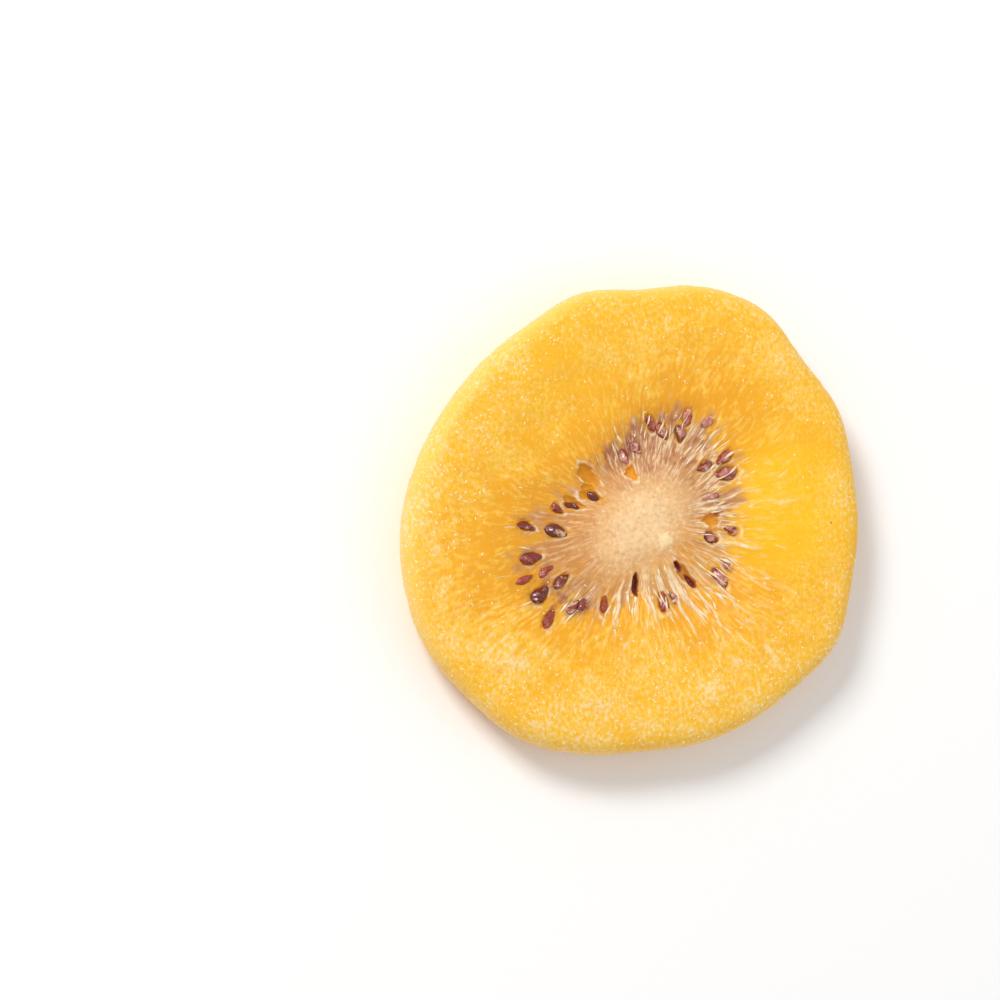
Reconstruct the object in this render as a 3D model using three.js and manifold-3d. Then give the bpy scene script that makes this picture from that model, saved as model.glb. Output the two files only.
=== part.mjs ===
// A dried slice of golden kiwi fruit: sugared golden flesh, a pale core, fine fibres that run
// out from it, and dark seeds set round it in small pits. It is one piece, cut on both faces.
// Units are millimetres and degrees, +Z is up, and the slice lies on its lower cut face.

import * as THREE from "three";
import { mergeVertices } from "three/addons/utils/BufferGeometryUtils.js";
import Module from "manifold-3d";

const { degToRad, euclideanModulo, lerp, smoothstep } = THREE.MathUtils;

// Outline of the slice: its radius from the middle of the core, at even bearings from +X
const outlineRadii = [
  23.75, 23.95, 24.95, 25.1, 26.6, 26.15, 24.7, 24.95, 23.95, 23.8, 24.0, 24.65,
  25.5, 26.1, 26.5, 26.15, 26.15, 25.1, 23.9, 23.85, 23.8, 23.95, 24.65, 23.8,
];

// How far the seeds reach from the middle of the core, at even bearings from +X
const seedReach = [10.0, 11.5, 12.7, 10.8, 8.6, 9.2, 13.2, 14.7, 11.3, 8.3, 9.7, 11.3];

// Half section of the slice, from the middle of the upper face, round the rim, to the middle of
// the lower face. Each point is a radius, in a slice of the section's radius, and a height.
const sectionRadius = 24;
const sectionPoints = [
  [0, 5.95], [5, 5.95], [10, 6.05], [14.5, 6.4], [18.7, 6.8], [21.1, 6.85],
  [22.7, 6.6], [23.65, 5.9], [24, 4.8], [24, 3.4], [23.65, 2.0], [22.8, 0.85],
  [21.6, 0.25], [20, 0], [16.8, 0], [14, 0.05], [10, 0.35], [5, 0.65], [0, 0.75],
];
const rimLevel = 3.4; // the upper face's side is above it, the lower face's below

// The mesh: meridians, and rings that stand closer together among the seeds
const meridianCount = 80;
const seedZone = { from: 2.4, to: 15.5 };
const ringStep = { seedsAbove: 0.85, seedsBelow: 1.15, plain: 1.45 };

// Warp of the dried slice, which leaves it standing on three low places
const warpHeight = 0.35;
const warpBearing = 75; // of one of the low places
const warpSink = 0.07; // how much of each low place is pressed flat

// Relief of the two cut faces
const troughDepth = 0.75; // where the flesh round the seeds has shrunk
const troughShare = 0.8;
const troughWidth = 0.3;
const coreRise = 0.3;
const coreHalfLength = 4.8;
const coreHalfWidth = 3.2;
const coreTurn = 42;
const lumpHeight = 0.1;
const faceFadeFrom = 0.78; // relief dies away from this share of the radius to the rim
const faceFadeTo = 0.95;

// Fibres: every other meridian is a ridge between these shares of the seeds' reach
const fibreHeight = 0.34;
const fibreStart = 0.45;
const fibreShortest = 1.15;
const fibreLongest = 1.9;
const fibreWander = 2.5; // how far a fibre strays from its bearing

// Seeds of the upper face: x, y, length, width, and the bearing of the pointed end
const faceSeeds = [
  [-12.75, -0.6, 1.9, 0.9, -20],
  [-9.3, -1.1, 2.3, 1.15, -10],
  [-12.2, -4, 2.3, 1.05, 12],
  [-10.6, -5.4, 1.7, 0.9, 35],
  [-13.2, -6.4, 2.2, 0.7, 28],
  [-11.2, -7.8, 2.2, 1.35, 45],
  [-8.75, -6.15, 2, 0.75, 42],
  [-10.4, -10.4, 2.2, 0.95, 60],
  [-7.75, -9.1, 2, 1, 55],
  [-6.5, -8.7, 1.7, 0.9, 62],
  [-4.2, -8.75, 2, 0.6, 84],
  [-0.8, -6.45, 2.3, 0.8, 90],
  [2.15, -8.35, 2.2, 0.95, 95],
  [3.3, -7.9, 1.7, 0.9, 100],
  [4.55, -5.3, 2.8, 0.75, 132],
  [8.35, -5.55, 2.3, 1.05, 126],
  [9.1, -4.3, 1.6, 0.9, 130],
  [7.4, -1.35, 1.5, 1.15, 150],
  [9.7, -0.7, 1.5, 0.7, 160],
  [7.3, 2.85, 1.8, 0.8, 190],
  [8.4, 1.5, 1.7, 0.8, 178],
  [9.15, 5.4, 2.1, 1.3, 190],
  [8.95, 7.1, 2, 0.85, 225],
  [6.8, 6.1, 1.7, 0.85, 215],
  [6.9, 10.7, 1.6, 0.8, 215],
  [4.85, 11.2, 1.9, 0.85, 265],
  [4.15, 9.5, 1.6, 1.1, 262],
  [2.2, 9.7, 1.9, 0.9, 300],
  [0.9, 10.5, 1.8, 0.7, 290],
  [-0.7, 7.8, 1.8, 1, 310],
  [-1.9, 6.7, 1.8, 0.9, 290],
  [-5.4, 2.7, 1.9, 1, 322],
  [-7.4, 1.65, 2, 0.75, 338],
  [-9.25, 1.2, 1.3, 0.7, 330],
];

// Pits of the upper face whose seed has fallen out: x, y, length, width, and bearing
const emptyPits = [
  [-6.1, 5.1, 2.1, 1.5, 325],
  [7.6, 0.5, 1.5, 1.3, 0],
  [-6.5, 3.3, 1.6, 1, 335],
  [-1.25, 5.1, 1.4, 1.1, 0],
];

// Seeds of the lower face, which stand in a ring by rule
const underSeedCount = 22;
const underSeedSize = { shortest: 1.8, longest: 2.3, narrowest: 0.95, widest: 1.25 };
const underSeedShare = { nearest: 0.68, farthest: 0.95 };
const underSeedSwing = 14;
const randomSeed = 1207;

// How a seed sits: its thickness by its width, how far it is sunk, and the pit round it
const seedFlatness = 0.85;
const seedSink = 0.12;
const seedTaper = 0.4;
const seedSides = 6;
const pitSides = 7;
const eggRings = 4;
const cornerGap = 0.003; // corners closer than this are one
const dipMargin = 0.3; // the flesh dips softly round every seed
const dipDepth = 0.2;
const dipReach = 1.1;
const pitMargin = 0.22; // a wide seed lies in a pit with a sharp edge
const pitDepth = 0.4;
const pitSeedWidth = 1.0;

// A repeatable draw between 0 and 1
function randomDraw(seed) {
  let state = seed;
  return () => {
    state = (state + 0x6d2b79f5) | 0;
    let mixed = Math.imul(state ^ (state >>> 15), 1 | state);
    mixed = (mixed + Math.imul(mixed ^ (mixed >>> 7), 61 | mixed)) ^ mixed;
    return ((mixed ^ (mixed >>> 14)) >>> 0) / 4294967296;
  };
}

// The radius at a bearing, on the smooth closed curve through radii at even bearings
function radiusAt(radii, bearing) {
  const place = euclideanModulo(bearing / 360, 1) * radii.length;
  const first = Math.floor(place);
  const [before, from, to, after] = [-1, 0, 1, 2].map((k) => radii[euclideanModulo(first + k, radii.length)]);
  const t = place - first;
  const slopeFrom = (to - before) / 2;
  const slopeTo = (after - from) / 2;
  const cubic = 2 * (from - to) + slopeFrom + slopeTo;
  const square = 3 * (to - from) - 2 * slopeFrom - slopeTo;
  return ((cubic * t + square) * t + slopeFrom) * t + from;
}

function bearingOf(x, y) {
  return THREE.MathUtils.radToDeg(Math.atan2(y, x));
}

function bell(value, middle, width) {
  return Math.exp(-(((value - middle) / width) ** 2));
}

// Distance from the core as a share of the seeds' reach at that bearing
function seedShare(x, y) {
  return Math.hypot(x, y) / radiusAt(seedReach, bearingOf(x, y));
}

// The core is an oval that swells a little: 1 in its middle, near 0 at its edge
function coreSwell(x, y) {
  const turn = degToRad(coreTurn);
  const along = x * Math.cos(turn) + y * Math.sin(turn);
  const across = y * Math.cos(turn) - x * Math.sin(turn);
  return Math.exp(-((along / coreHalfLength) ** 2) - (across / coreHalfWidth) ** 2);
}

function lumps(x, y) {
  const broad = Math.sin(0.52 * x + 1.3) * Math.sin(0.47 * y + 0.4);
  const narrow = Math.sin(1.15 * x - 0.7 * y + 2.0) * Math.sin(0.6 * x + 1.05 * y);
  return lumpHeight * (broad + 0.6 * narrow);
}

// The slice's warp: none at the three low places, most between them and at the rim
function warp(bearing, share) {
  const lift = (1 - Math.cos(3 * degToRad(bearing - warpBearing))) / 2;
  return warpHeight * lift * share ** 2;
}

// How far the surface dips at a place towards the seeds that are near it
function seedDip(x, y, seeds) {
  return seeds.reduce((deepest, [seedX, seedY, length, width, bearing]) => {
    const turn = degToRad(bearing);
    const [offX, offY] = [x - seedX, y - seedY];
    const along = (offX * Math.cos(turn) + offY * Math.sin(turn)) / (length / 2 + dipMargin);
    const across = (offY * Math.cos(turn) - offX * Math.sin(turn)) / (width / 2 + dipMargin);
    return Math.max(deepest, dipDepth * bell(Math.hypot(along, across), 0, dipReach));
  }, 0);
}

// How much a cut face stands above its plain section, away from the slice's middle plane
function faceRelief(x, y, share) {
  const fade = 1 - smoothstep(share, faceFadeFrom, faceFadeTo);
  const trough = troughDepth * bell(seedShare(x, y), troughShare, troughWidth);
  return fade * (coreRise * coreSwell(x, y) - trough + lumps(x, y));
}

// One cut face's fibres: for each meridian, a ridge's height at a share of the seeds' reach
function fibreRidges(random) {
  const ridges = Array.from({ length: meridianCount }, (_, i) => ({
    height: i % 2 ? 0 : fibreHeight * lerp(0.4, 1, random()),
    end: lerp(fibreShortest, fibreLongest, random()),
  }));
  return (meridian, share) => {
    const { height, end } = ridges[meridian];
    const rise = smoothstep(share, fibreStart, fibreStart + 0.15);
    return height * rise * (1 - smoothstep(share, end - 0.35, end));
  };
}

const section = new THREE.SplineCurve(sectionPoints.map(([r, z]) => new THREE.Vector2(r, z)));
const sectionSamples = section.getPoints(900);

// Height of one face at a place, without its dips and fibres, for seating the seeds
function heightAt(x, y, upper) {
  const bearing = bearingOf(x, y);
  const share = Math.hypot(x, y) / radiusAt(outlineRadii, bearing);
  const side = sectionSamples.filter((point) => upper === point.y > rimLevel);
  const offset = (point) => Math.abs(point.x - share * sectionRadius);
  const nearest = side.reduce((best, point) => (offset(point) < offset(best) ? point : best));
  const relief = faceRelief(x, y, share);
  return nearest.y + warp(bearing, share) + (upper ? relief : -relief);
}

// The places on the section where the mesh has a ring, from the upper face to the lower one
function sectionRings() {
  const stepAt = ({ x: radius, y: height }) => {
    if (radius < seedZone.from || radius > seedZone.to) {
      return ringStep.plain;
    }
    return height > rimLevel ? ringStep.seedsAbove : ringStep.seedsBelow;
  };
  let travelled = 0;
  return sectionSamples.slice(1).filter((point, k) => {
    travelled += point.distanceTo(sectionSamples[k]) / stepAt(point);
    const reached = travelled >= 1;
    travelled -= reached ? 1 : 0;
    return reached && point.x >= seedZone.from / 2;
  });
}

// The whole flesh as one closed surface of rings and meridians
function fleshGeometry(random, seeds) {
  const rings = sectionRings();
  const ridges = { upper: fibreRidges(random), lower: fibreRidges(random) };
  const positions = [0, 0, heightAt(0, 0, true)];
  rings.forEach(({ x: ringRadius, y: height }) => {
    const share = ringRadius / sectionRadius;
    const side = height > rimLevel ? "upper" : "lower";
    for (let i = 0; i < meridianCount; i += 1) {
      const swing = fibreWander * Math.sin(9 * share + 0.9 * i) * (1 - share);
      const bearing = (360 * i) / meridianCount + swing;
      const radius = share * radiusAt(outlineRadii, bearing);
      const x = radius * Math.cos(degToRad(bearing));
      const y = radius * Math.sin(degToRad(bearing));
      const detail = ridges[side](i, seedShare(x, y)) - seedDip(x, y, seeds[side]);
      const relief = faceRelief(x, y, share) + detail;
      const plain = height + warp(bearing, share);
      positions.push(x, y, side === "upper" ? plain + relief : Math.max(0, plain - relief - warpSink));
    }
  });
  positions.push(0, 0, heightAt(0, 0, false));

  const lastPole = positions.length / 3 - 1;
  const vertex = (ring, i) => 1 + ring * meridianCount + (i % meridianCount);
  const index = [];
  for (let i = 0; i < meridianCount; i += 1) {
    index.push(0, vertex(0, i), vertex(0, i + 1));
    for (let ring = 0; ring < rings.length - 1; ring += 1) {
      const [a, b] = [vertex(ring, i), vertex(ring + 1, i)];
      const [c, d] = [vertex(ring + 1, i + 1), vertex(ring, i + 1)];
      index.push(a, b, c, a, c, d);
    }
    index.push(vertex(rings.length - 1, i), lastPole, vertex(rings.length - 1, i + 1));
  }
  const geometry = new THREE.BufferGeometry();
  geometry.setAttribute("position", new THREE.Float32BufferAttribute(positions, 3));
  geometry.setIndex(index);
  return geometry;
}

// An egg shape on its side, blunt at one end and pointed along the bearing at the other
function eggGeometry(sides, length, width, height, bearing) {
  const geometry = new THREE.SphereGeometry(1, sides, eggRings).rotateZ(-Math.PI / 2);
  const corners = geometry.getAttribute("position");
  for (let i = 0; i < corners.count; i += 1) {
    const along = corners.getX(i);
    const slim = 1 - seedTaper * smoothstep(along, -0.3, 1);
    corners.setXYZ(i, along, corners.getY(i) * slim, corners.getZ(i) * slim);
  }
  return geometry.scale(length / 2, width / 2, height / 2).rotateZ(degToRad(bearing));
}

function seedGeometry([x, y, length, width, bearing], upper) {
  const level = heightAt(x, y, upper) - (upper ? seedSink : -seedSink);
  return eggGeometry(seedSides, length, width, width * seedFlatness, bearing).translate(x, y, level);
}

function pitGeometry([x, y, length, width, bearing]) {
  const [long, wide] = [length + 2 * pitMargin, width + 2 * pitMargin];
  return eggGeometry(pitSides, long, wide, 2 * pitDepth, bearing).translate(x, y, heightAt(x, y, true));
}

// The lower face's seeds: a ring at even bearings, each drawn a little out of its place
function underSeeds(random) {
  const { shortest, longest, narrowest, widest } = underSeedSize;
  const spacing = 360 / underSeedCount;
  return Array.from({ length: underSeedCount }, (_, i) => {
    const bearing = spacing * (i + lerp(-0.3, 0.3, random()));
    const share = lerp(underSeedShare.nearest, underSeedShare.farthest, random());
    const distance = share * radiusAt(seedReach, bearing);
    const x = distance * Math.cos(degToRad(bearing));
    const y = distance * Math.sin(degToRad(bearing));
    const length = lerp(shortest, longest, random());
    const width = lerp(narrowest, widest, random());
    return [x, y, length, width, bearing + 180 + lerp(-underSeedSwing, underSeedSwing, random())];
  });
}

const wasm = await Module();
wasm.setup();

function solidOf(geometry) {
  const bare = geometry.clone();
  bare.deleteAttribute("normal");
  bare.deleteAttribute("uv");
  const merged = mergeVertices(bare, 1e-4);
  const vertProperties = new Float32Array(merged.getAttribute("position").array);
  const triVerts = new Uint32Array(merged.index.array);
  return new wasm.Manifold(new wasm.Mesh({ numProp: 3, vertProperties, triVerts }));
}

function geometryOf(solid) {
  const { vertProperties, triVerts } = solid.getMesh();
  const geometry = new THREE.BufferGeometry();
  geometry.setAttribute("position", new THREE.BufferAttribute(new Float32Array(vertProperties), 3));
  geometry.setIndex(new THREE.BufferAttribute(new Uint32Array(triVerts), 1));
  return geometry;
}

// Makes one corner of those that all but touch, and drops the triangles that this closes up
function withoutSlivers(geometry) {
  const merged = mergeVertices(geometry, cornerGap);
  const corners = Array.from(merged.index.array);
  const triangles = Array.from({ length: corners.length / 3 }, (_, i) => corners.slice(3 * i, 3 * i + 3));
  merged.setIndex(triangles.filter((triangle) => new Set(triangle).size === 3).flat());
  merged.computeVertexNormals();
  return merged;
}

// The flesh with its pits, and every seed set in its pit, as one body
function sliceGeometry() {
  const random = randomDraw(randomSeed);
  const below = underSeeds(random);
  const pitted = faceSeeds.filter(([, , , width]) => width >= pitSeedWidth).concat(emptyPits);
  const flesh = solidOf(fleshGeometry(random, { upper: faceSeeds, lower: below }));
  const pits = wasm.Manifold.union(pitted.map(pitGeometry).map(solidOf));
  const seeds = [
    ...faceSeeds.map((seed) => seedGeometry(seed, true)),
    ...below.map((seed) => seedGeometry(seed, false)),
  ];
  return withoutSlivers(geometryOf(flesh.subtract(pits).add(wasm.Manifold.union(seeds.map(solidOf)))));
}

// The origin is on the surface that the slice lies on, under the middle of its outline's box
function standOnOrigin(geometry) {
  geometry.computeBoundingBox();
  const { min, max } = geometry.boundingBox;
  return geometry.translate(-(min.x + max.x) / 2, -(min.y + max.y) / 2, -min.z);
}

const driedFlesh = new THREE.MeshStandardMaterial({ color: 0xf6b32e, roughness: 0.55, metalness: 0 });

const slice = new THREE.Mesh(standOnOrigin(sliceGeometry()), driedFlesh);
slice.name = "kiwi_slice";

const kiwi = new THREE.Group();
kiwi.add(slice);

export default kiwi;
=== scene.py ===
"""A sugared, dried slice of golden kiwi fruit on a pale floor.

The slice is one body, cut on both faces. Its flesh is a closed surface of rings and meridians
about the middle of the core, shaped by formulas: a trough where the flesh round the seeds has
shrunk, ridges where its walls stand, and a pit for every seed. The seeds, the loose fibres and
the sugar crystals are instanced by Geometry Nodes and turned into plain meshes.

Sizes in the dataclasses are millimetres, about the middle of the core. Meshes are in metres.
"""

import logging
import math
from collections.abc import Iterator, Mapping, Sequence
from dataclasses import dataclass
from enum import Enum
from functools import cache
from typing import Any

import bpy
import numpy as np
from mathutils import Matrix, Vector


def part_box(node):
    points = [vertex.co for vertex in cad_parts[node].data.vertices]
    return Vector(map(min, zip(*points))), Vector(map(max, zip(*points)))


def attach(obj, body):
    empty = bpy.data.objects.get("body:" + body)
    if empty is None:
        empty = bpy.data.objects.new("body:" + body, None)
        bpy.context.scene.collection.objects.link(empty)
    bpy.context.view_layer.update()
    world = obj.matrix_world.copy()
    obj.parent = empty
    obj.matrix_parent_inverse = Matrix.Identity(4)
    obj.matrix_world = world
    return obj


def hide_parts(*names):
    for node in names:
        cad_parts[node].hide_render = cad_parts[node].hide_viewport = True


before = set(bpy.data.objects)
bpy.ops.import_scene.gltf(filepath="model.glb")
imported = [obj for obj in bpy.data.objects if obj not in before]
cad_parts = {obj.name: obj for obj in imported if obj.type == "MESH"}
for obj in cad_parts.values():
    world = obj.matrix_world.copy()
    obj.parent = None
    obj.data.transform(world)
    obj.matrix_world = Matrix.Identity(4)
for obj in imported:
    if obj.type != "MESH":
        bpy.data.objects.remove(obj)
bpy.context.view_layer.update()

LOG = logging.getLogger("kiwi_slice")
MM = 0.001
NODE = "kiwi_slice"
BODY = "root"
WORD = 0xFFFFFFFF  # the largest 32-bit number

Array = np.ndarray
Triple = tuple[float, float, float]
Colour = Triple
Facts = dict[str, Array]


# Numbers


def smooth(value: Array, low: float | Array, high: float | Array) -> Array:
    """Ease from 0 at low to 1 at high.

    Args:
        value: Where to read the ease.
        low: Where it leaves 0.
        high: Where it reaches 1.

    Returns:
        The eased value, between 0 and 1.
    """
    step = np.clip((value - low) / (high - low), 0.0, 1.0)
    return step * step * (3.0 - 2.0 * step)


def bell(value: Array, middle: float | Array, width: float | Array) -> Array:
    """A bell curve of height 1 round middle."""
    return np.exp(-(((value - middle) / width) ** 2))


def cubic(weights: Array, points: Sequence[Array]) -> Array:
    """Catmull-Rom curve between the middle two of four points.

    Args:
        weights: Places between the second point, 0, and the third, 1.
        points: The four points, each one number to a weight.

    Returns:
        The curve's value at each weight.
    """
    before, start, end, after = points
    leave, arrive = (end - before) / 2.0, (after - start) / 2.0
    third = 2.0 * (start - end) + leave + arrive
    second = 3.0 * (end - start) - 2.0 * leave - arrive
    return ((third * weights + second) * weights + leave) * weights + start


def closed_curve(values: Sequence[float], bearing: Array) -> Array:
    """Smooth closed curve through values at even bearings.

    Args:
        values: One value to each even bearing, from +X.
        bearing: Where to read the curve, in degrees.

    Returns:
        The curve's value at each bearing.
    """
    ring = np.asarray(values, float)
    place = (np.asarray(bearing, float) / 360.0 % 1.0) * len(ring)
    first = np.floor(place).astype(int)
    return cubic(place - first, [ring[(first + k) % len(ring)] for k in (-1, 0, 1, 2)])


def side_bells(bearing: Array, table: Sequence[Triple]) -> Array:
    """Add up bells that stand to some sides of the core.

    Args:
        bearing: Where to read them, in degrees.
        table: Each bell's height, bearing and width.

    Returns:
        Their sum at each bearing.
    """
    return sum(height * bell(bearing, middle, width) for height, middle, width in table)


def linear(red: int, green: int, blue: int) -> Colour:
    """A colour read off a picture, 0 to 255, as a linear colour."""
    steps = (channel / 255.0 for channel in (red, green, blue))
    return tuple(s / 12.92 if s <= 0.04045 else ((s + 0.055) / 1.055) ** 2.4 for s in steps)


# The slice's form


class Face(Enum):
    """One of the slice's two cut faces."""

    UPPER = 1
    LOWER = -1


class SeedState(Enum):
    """How a seed shows in the cut face."""

    BARE = "bare"
    VEILED = "veiled"
    EMPTY = "empty"
    SLIT = "slit"
    TRACE = "trace"


@dataclass(frozen=True)
class Seed:
    """A seed, or the pit that one has left.

    Attributes:
        x, y: Its middle, in millimetres from the core's.
        length, width: Its size, in millimetres.
        bearing: Where its pointed end looks, in degrees.
        state: How it shows.
        tone: Its colour, from 0, nearly black, to 1, reddish.
    """

    x: float
    y: float
    length: float
    width: float
    bearing: float
    state: SeedState = SeedState.BARE
    tone: float = 0.4

    def across(self, x: Array, y: Array, margin: float) -> Array:
        """How far places are from the seed's middle, as a share of its half size.

        Args:
            x: The places' x, in millimetres.
            y: The places' y, in millimetres.
            margin: How much larger than the seed the oval is on every side.

        Returns:
            0 at the middle and 1 on the oval.
        """
        turn = math.radians(self.bearing)
        dx, dy = x - self.x, y - self.y
        along = (dx * math.cos(turn) + dy * math.sin(turn)) / (self.length / 2 + margin)
        side = (dy * math.cos(turn) - dx * math.sin(turn)) / (self.width / 2 + margin)
        away = np.hypot(along, side * (1.0 + 0.25 * np.clip(along, -1.0, 1.0)))
        angle = np.arctan2(side, along)
        bumps = np.sin(3.0 * angle + 7.0 * self.x) + 0.6 * np.sin(5.0 * angle + 5.0 * self.y)
        bumps += 0.5 * np.sin(9.0 * angle + 3.0 * self.x)
        return away * (1.0 + self.raggedness * bumps)

    @property
    def raggedness(self) -> float:
        """How far the edge of the seed's place wanders; an empty pit is torn."""
        return 0.15 if self.state is SeedState.EMPTY else 0.07


BARE, VEILED, EMPTY, SLIT, TRACE = SeedState

UPPER_SEEDS = (
    Seed(-12.75, -0.6, 1.9, 0.9, -20, tone=0.35),
    Seed(-9.3, -1.1, 2.3, 1.15, -10, tone=0.2),
    Seed(-12.2, -4, 2.3, 1.05, 12, tone=0.4),
    Seed(-10.6, -5.4, 2.0, 0.95, 35, TRACE, 1.2),
    Seed(-13.2, -6.4, 2.6, 0.85, 28, TRACE, 1.1),
    Seed(-11.2, -7.8, 2.2, 1.35, 45, tone=0.15),
    Seed(-8.75, -6.15, 2, 0.75, 42, tone=0.3),
    Seed(-10.4, -10.4, 2.2, 0.95, 60, tone=0.65),
    Seed(-7.75, -9.1, 2, 1, 55, VEILED, 0.5),
    Seed(-6.5, -8.7, 1.7, 0.9, 62, VEILED, 0.5),
    Seed(-4.2, -8.75, 2, 0.6, 84, tone=0.9),
    Seed(-0.8, -6.45, 2.3, 0.5, 90, SLIT, 0.5),
    Seed(2.15, -8.35, 2.2, 0.95, 95, tone=0.8),
    Seed(3.3, -7.9, 1.7, 0.9, 100, VEILED, 0.4),
    Seed(3.75, -4.5, 1.1, 0.3, 128, SLIT, 0.5),
    Seed(5.2, -6.05, 1.7, 0.35, 131, SLIT, 0.4),
    Seed(8.35, -5.55, 2.3, 1.05, 126, tone=0.3),
    Seed(9.1, -4.3, 1.6, 0.9, 130, VEILED, 0.6),
    Seed(7.4, -1.35, 1.5, 1.15, 150, tone=0.2),
    Seed(9.7, -0.7, 1.5, 0.7, 160, tone=0.45),
    Seed(7.3, 2.85, 1.8, 0.8, 190, VEILED, 0.4),
    Seed(8.4, 1.5, 1.7, 0.8, 178, VEILED, 0.4),
    Seed(9.15, 5.4, 2.1, 1.3, 190, tone=0.55),
    Seed(8.95, 7.1, 2, 0.85, 225, tone=0.75),
    Seed(6.8, 6.1, 1.7, 0.85, 215, tone=0.35),
    Seed(6.9, 10.7, 1.6, 0.8, 215, VEILED, 0.7),
    Seed(4.85, 11.2, 1.9, 0.85, 265, tone=1.1),
    Seed(4.15, 9.5, 1.6, 1.1, 262, tone=0.1),
    Seed(2.2, 9.7, 1.9, 0.9, 300, tone=0.4),
    Seed(0.9, 10.5, 1.8, 0.7, 290, tone=0.85),
    Seed(-0.7, 7.8, 1.8, 1, 310, VEILED, 0.5),
    Seed(-1.9, 6.7, 1.8, 0.9, 290, VEILED, 0.6),
    Seed(-5.3, 2.6, 1.5, 0.75, 322, TRACE, 0.2),
    Seed(-7.3, 1.5, 1.9, 0.5, 338, TRACE, 0.25),
    Seed(-9.25, 1.2, 1.3, 0.7, 330, tone=0.6),
    Seed(-6.1, 5.05, 2.3, 1.2, 140, EMPTY),
    Seed(7.6, 0.5, 1.5, 1.15, 20, EMPTY),
    Seed(-5.7, 2.95, 2.1, 1.15, 325, EMPTY),
    Seed(-7.5, 1.85, 2.1, 0.85, 338, EMPTY),
    Seed(4.55, -5.3, 2.7, 0.75, 132, EMPTY),
    Seed(-1.25, 5.1, 1.3, 0.7, 300, EMPTY),
    Seed(-11.1, -0.75, 1.5, 0.2, -14, TRACE, 0.2),
    Seed(-14, -0.2, 1.0, 0.2, -28, TRACE, 0.3),
    Seed(9.1, -7.2, 1.7, 0.24, 112, TRACE, 0.2),
    Seed(4.55, 10.4, 1.2, 0.24, 260, TRACE, 0.1),
    Seed(22.4, -4.4, 0.45, 0.2, 70, TRACE, 0.9),
    Seed(20.3, 0.4, 0.3, 0.14, 70, TRACE, 1.0),
)


@dataclass(frozen=True)
class SliceSizes:
    """Sizes of the flesh, in millimetres and degrees."""

    outline: tuple[float, ...] = (
        23.75, 23.95, 24.95, 25.1, 26.6, 26.15, 24.7, 24.95, 23.95, 23.8, 24.0, 24.65,
        25.5, 26.1, 26.5, 26.15, 26.15, 25.1, 23.9, 23.85, 23.8, 23.95, 24.65, 23.8,
    )  # fmt: skip
    reach: tuple[float, ...] = (10.0, 11.5, 12.7, 10.8, 8.6, 9.2, 13.2, 14.7, 11.3, 8.3, 9.7, 11.3)
    section_radius: float = 24.0
    section_samples: int = 900
    section: tuple[tuple[float, float], ...] = (
        (0, 5.95), (5, 5.95), (10, 6.05), (14.5, 6.4), (18.7, 6.8), (21.1, 6.85),
        (22.7, 6.6), (23.65, 5.9), (24, 4.8), (24, 3.4), (23.65, 2.0), (22.8, 0.85),
        (21.6, 0.25), (20, 0), (16.8, 0), (14, 0.05), (10, 0.35), (5, 0.65), (0, 0.75),
    )  # fmt: skip
    rim_level: float = 3.4
    warp_height: float = 0.35
    warp_bearing: float = 75.0
    warp_sink: float = 0.07  # how much of the low places is pressed flat
    trough_depth: float = 0.75
    trough_share: float = 0.8
    trough_width: float = 0.3
    core_rise: float = 0.3
    core_half: tuple[float, float] = (4.8, 3.2)
    core_turn: float = 42.0
    lump_height: float = 0.1
    bright_lump: tuple[float, float] = (2.2, -1.9)
    fade: tuple[float, float] = (0.78, 0.95)
    nick_depth: float = 0.11
    inset: float = 0.07
    meridians: int = 384


@dataclass(frozen=True)
class RingSteps:
    """Distance between the flesh's rings, in millimetres."""

    seed_zone: tuple[float, float] = (3.0, 15.5)
    seeds_above: float = 0.105
    seeds_below: float = 0.3
    plain_above: float = 0.24
    plain_below: float = 0.36


@dataclass(frozen=True)
class RidgeSizes:
    """Walls of flesh that stand out between the seeds, in millimetres and degrees."""

    count: int = 56
    height: tuple[float, float] = (0.1, 0.28)
    width: tuple[float, float] = (0.12, 0.28)
    end: tuple[float, float] = (0.85, 1.3)
    start_fade: float = 0.2
    end_fade: float = 0.45
    spread: float = 0.42
    wander: float = 4.0
    wave: float = 1.1
    faintest: float = 0.05
    random_seed: int = 31


@dataclass(frozen=True)
class FibreField:
    """How the fibres run in each direction, at even bearings from +X.

    Attributes:
        start: Where they start, as a share of the seeds' reach.
        stretch: How far they run beyond what is usual.
        strength: How clearly they show, from 0 to 1.
    """

    start: tuple[float, ...] = (0.45, 0.5, 0.6, 0.62, 0.65, 0.72, 0.85, 0.8, 0.6, 0.5, 0.45, 0.45)
    stretch: tuple[float, ...] = (
        1.15, 1.05, 0.9, 0.85, 0.85, 0.75, 0.7, 0.75, 1.05, 1.35, 1.5, 1.35,
    )  # fmt: skip
    strength: tuple[float, ...] = (1.0, 1.0, 0.8, 0.55, 0.45, 0.3, 0.1, 0.5, 0.9, 1.0, 1.0, 1.0)


FIBRES = FibreField()


@dataclass(frozen=True)
class PitSizes:
    """Pits that hold the seeds, in millimetres."""

    margin: float = 0.16
    lip_height: float = 0.06
    lip_place: float = 1.2
    lip_width: float = 0.18
    veil_rise: float = 0.04
    bowl_power: float = 2.6  # higher makes a flatter floor and steeper walls

    @property
    def depths(self) -> dict[SeedState, float]:
        """How deep a pit of each kind is."""
        return {BARE: 0.26, SLIT: 0.7, EMPTY: 0.42, TRACE: 0.0}


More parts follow.
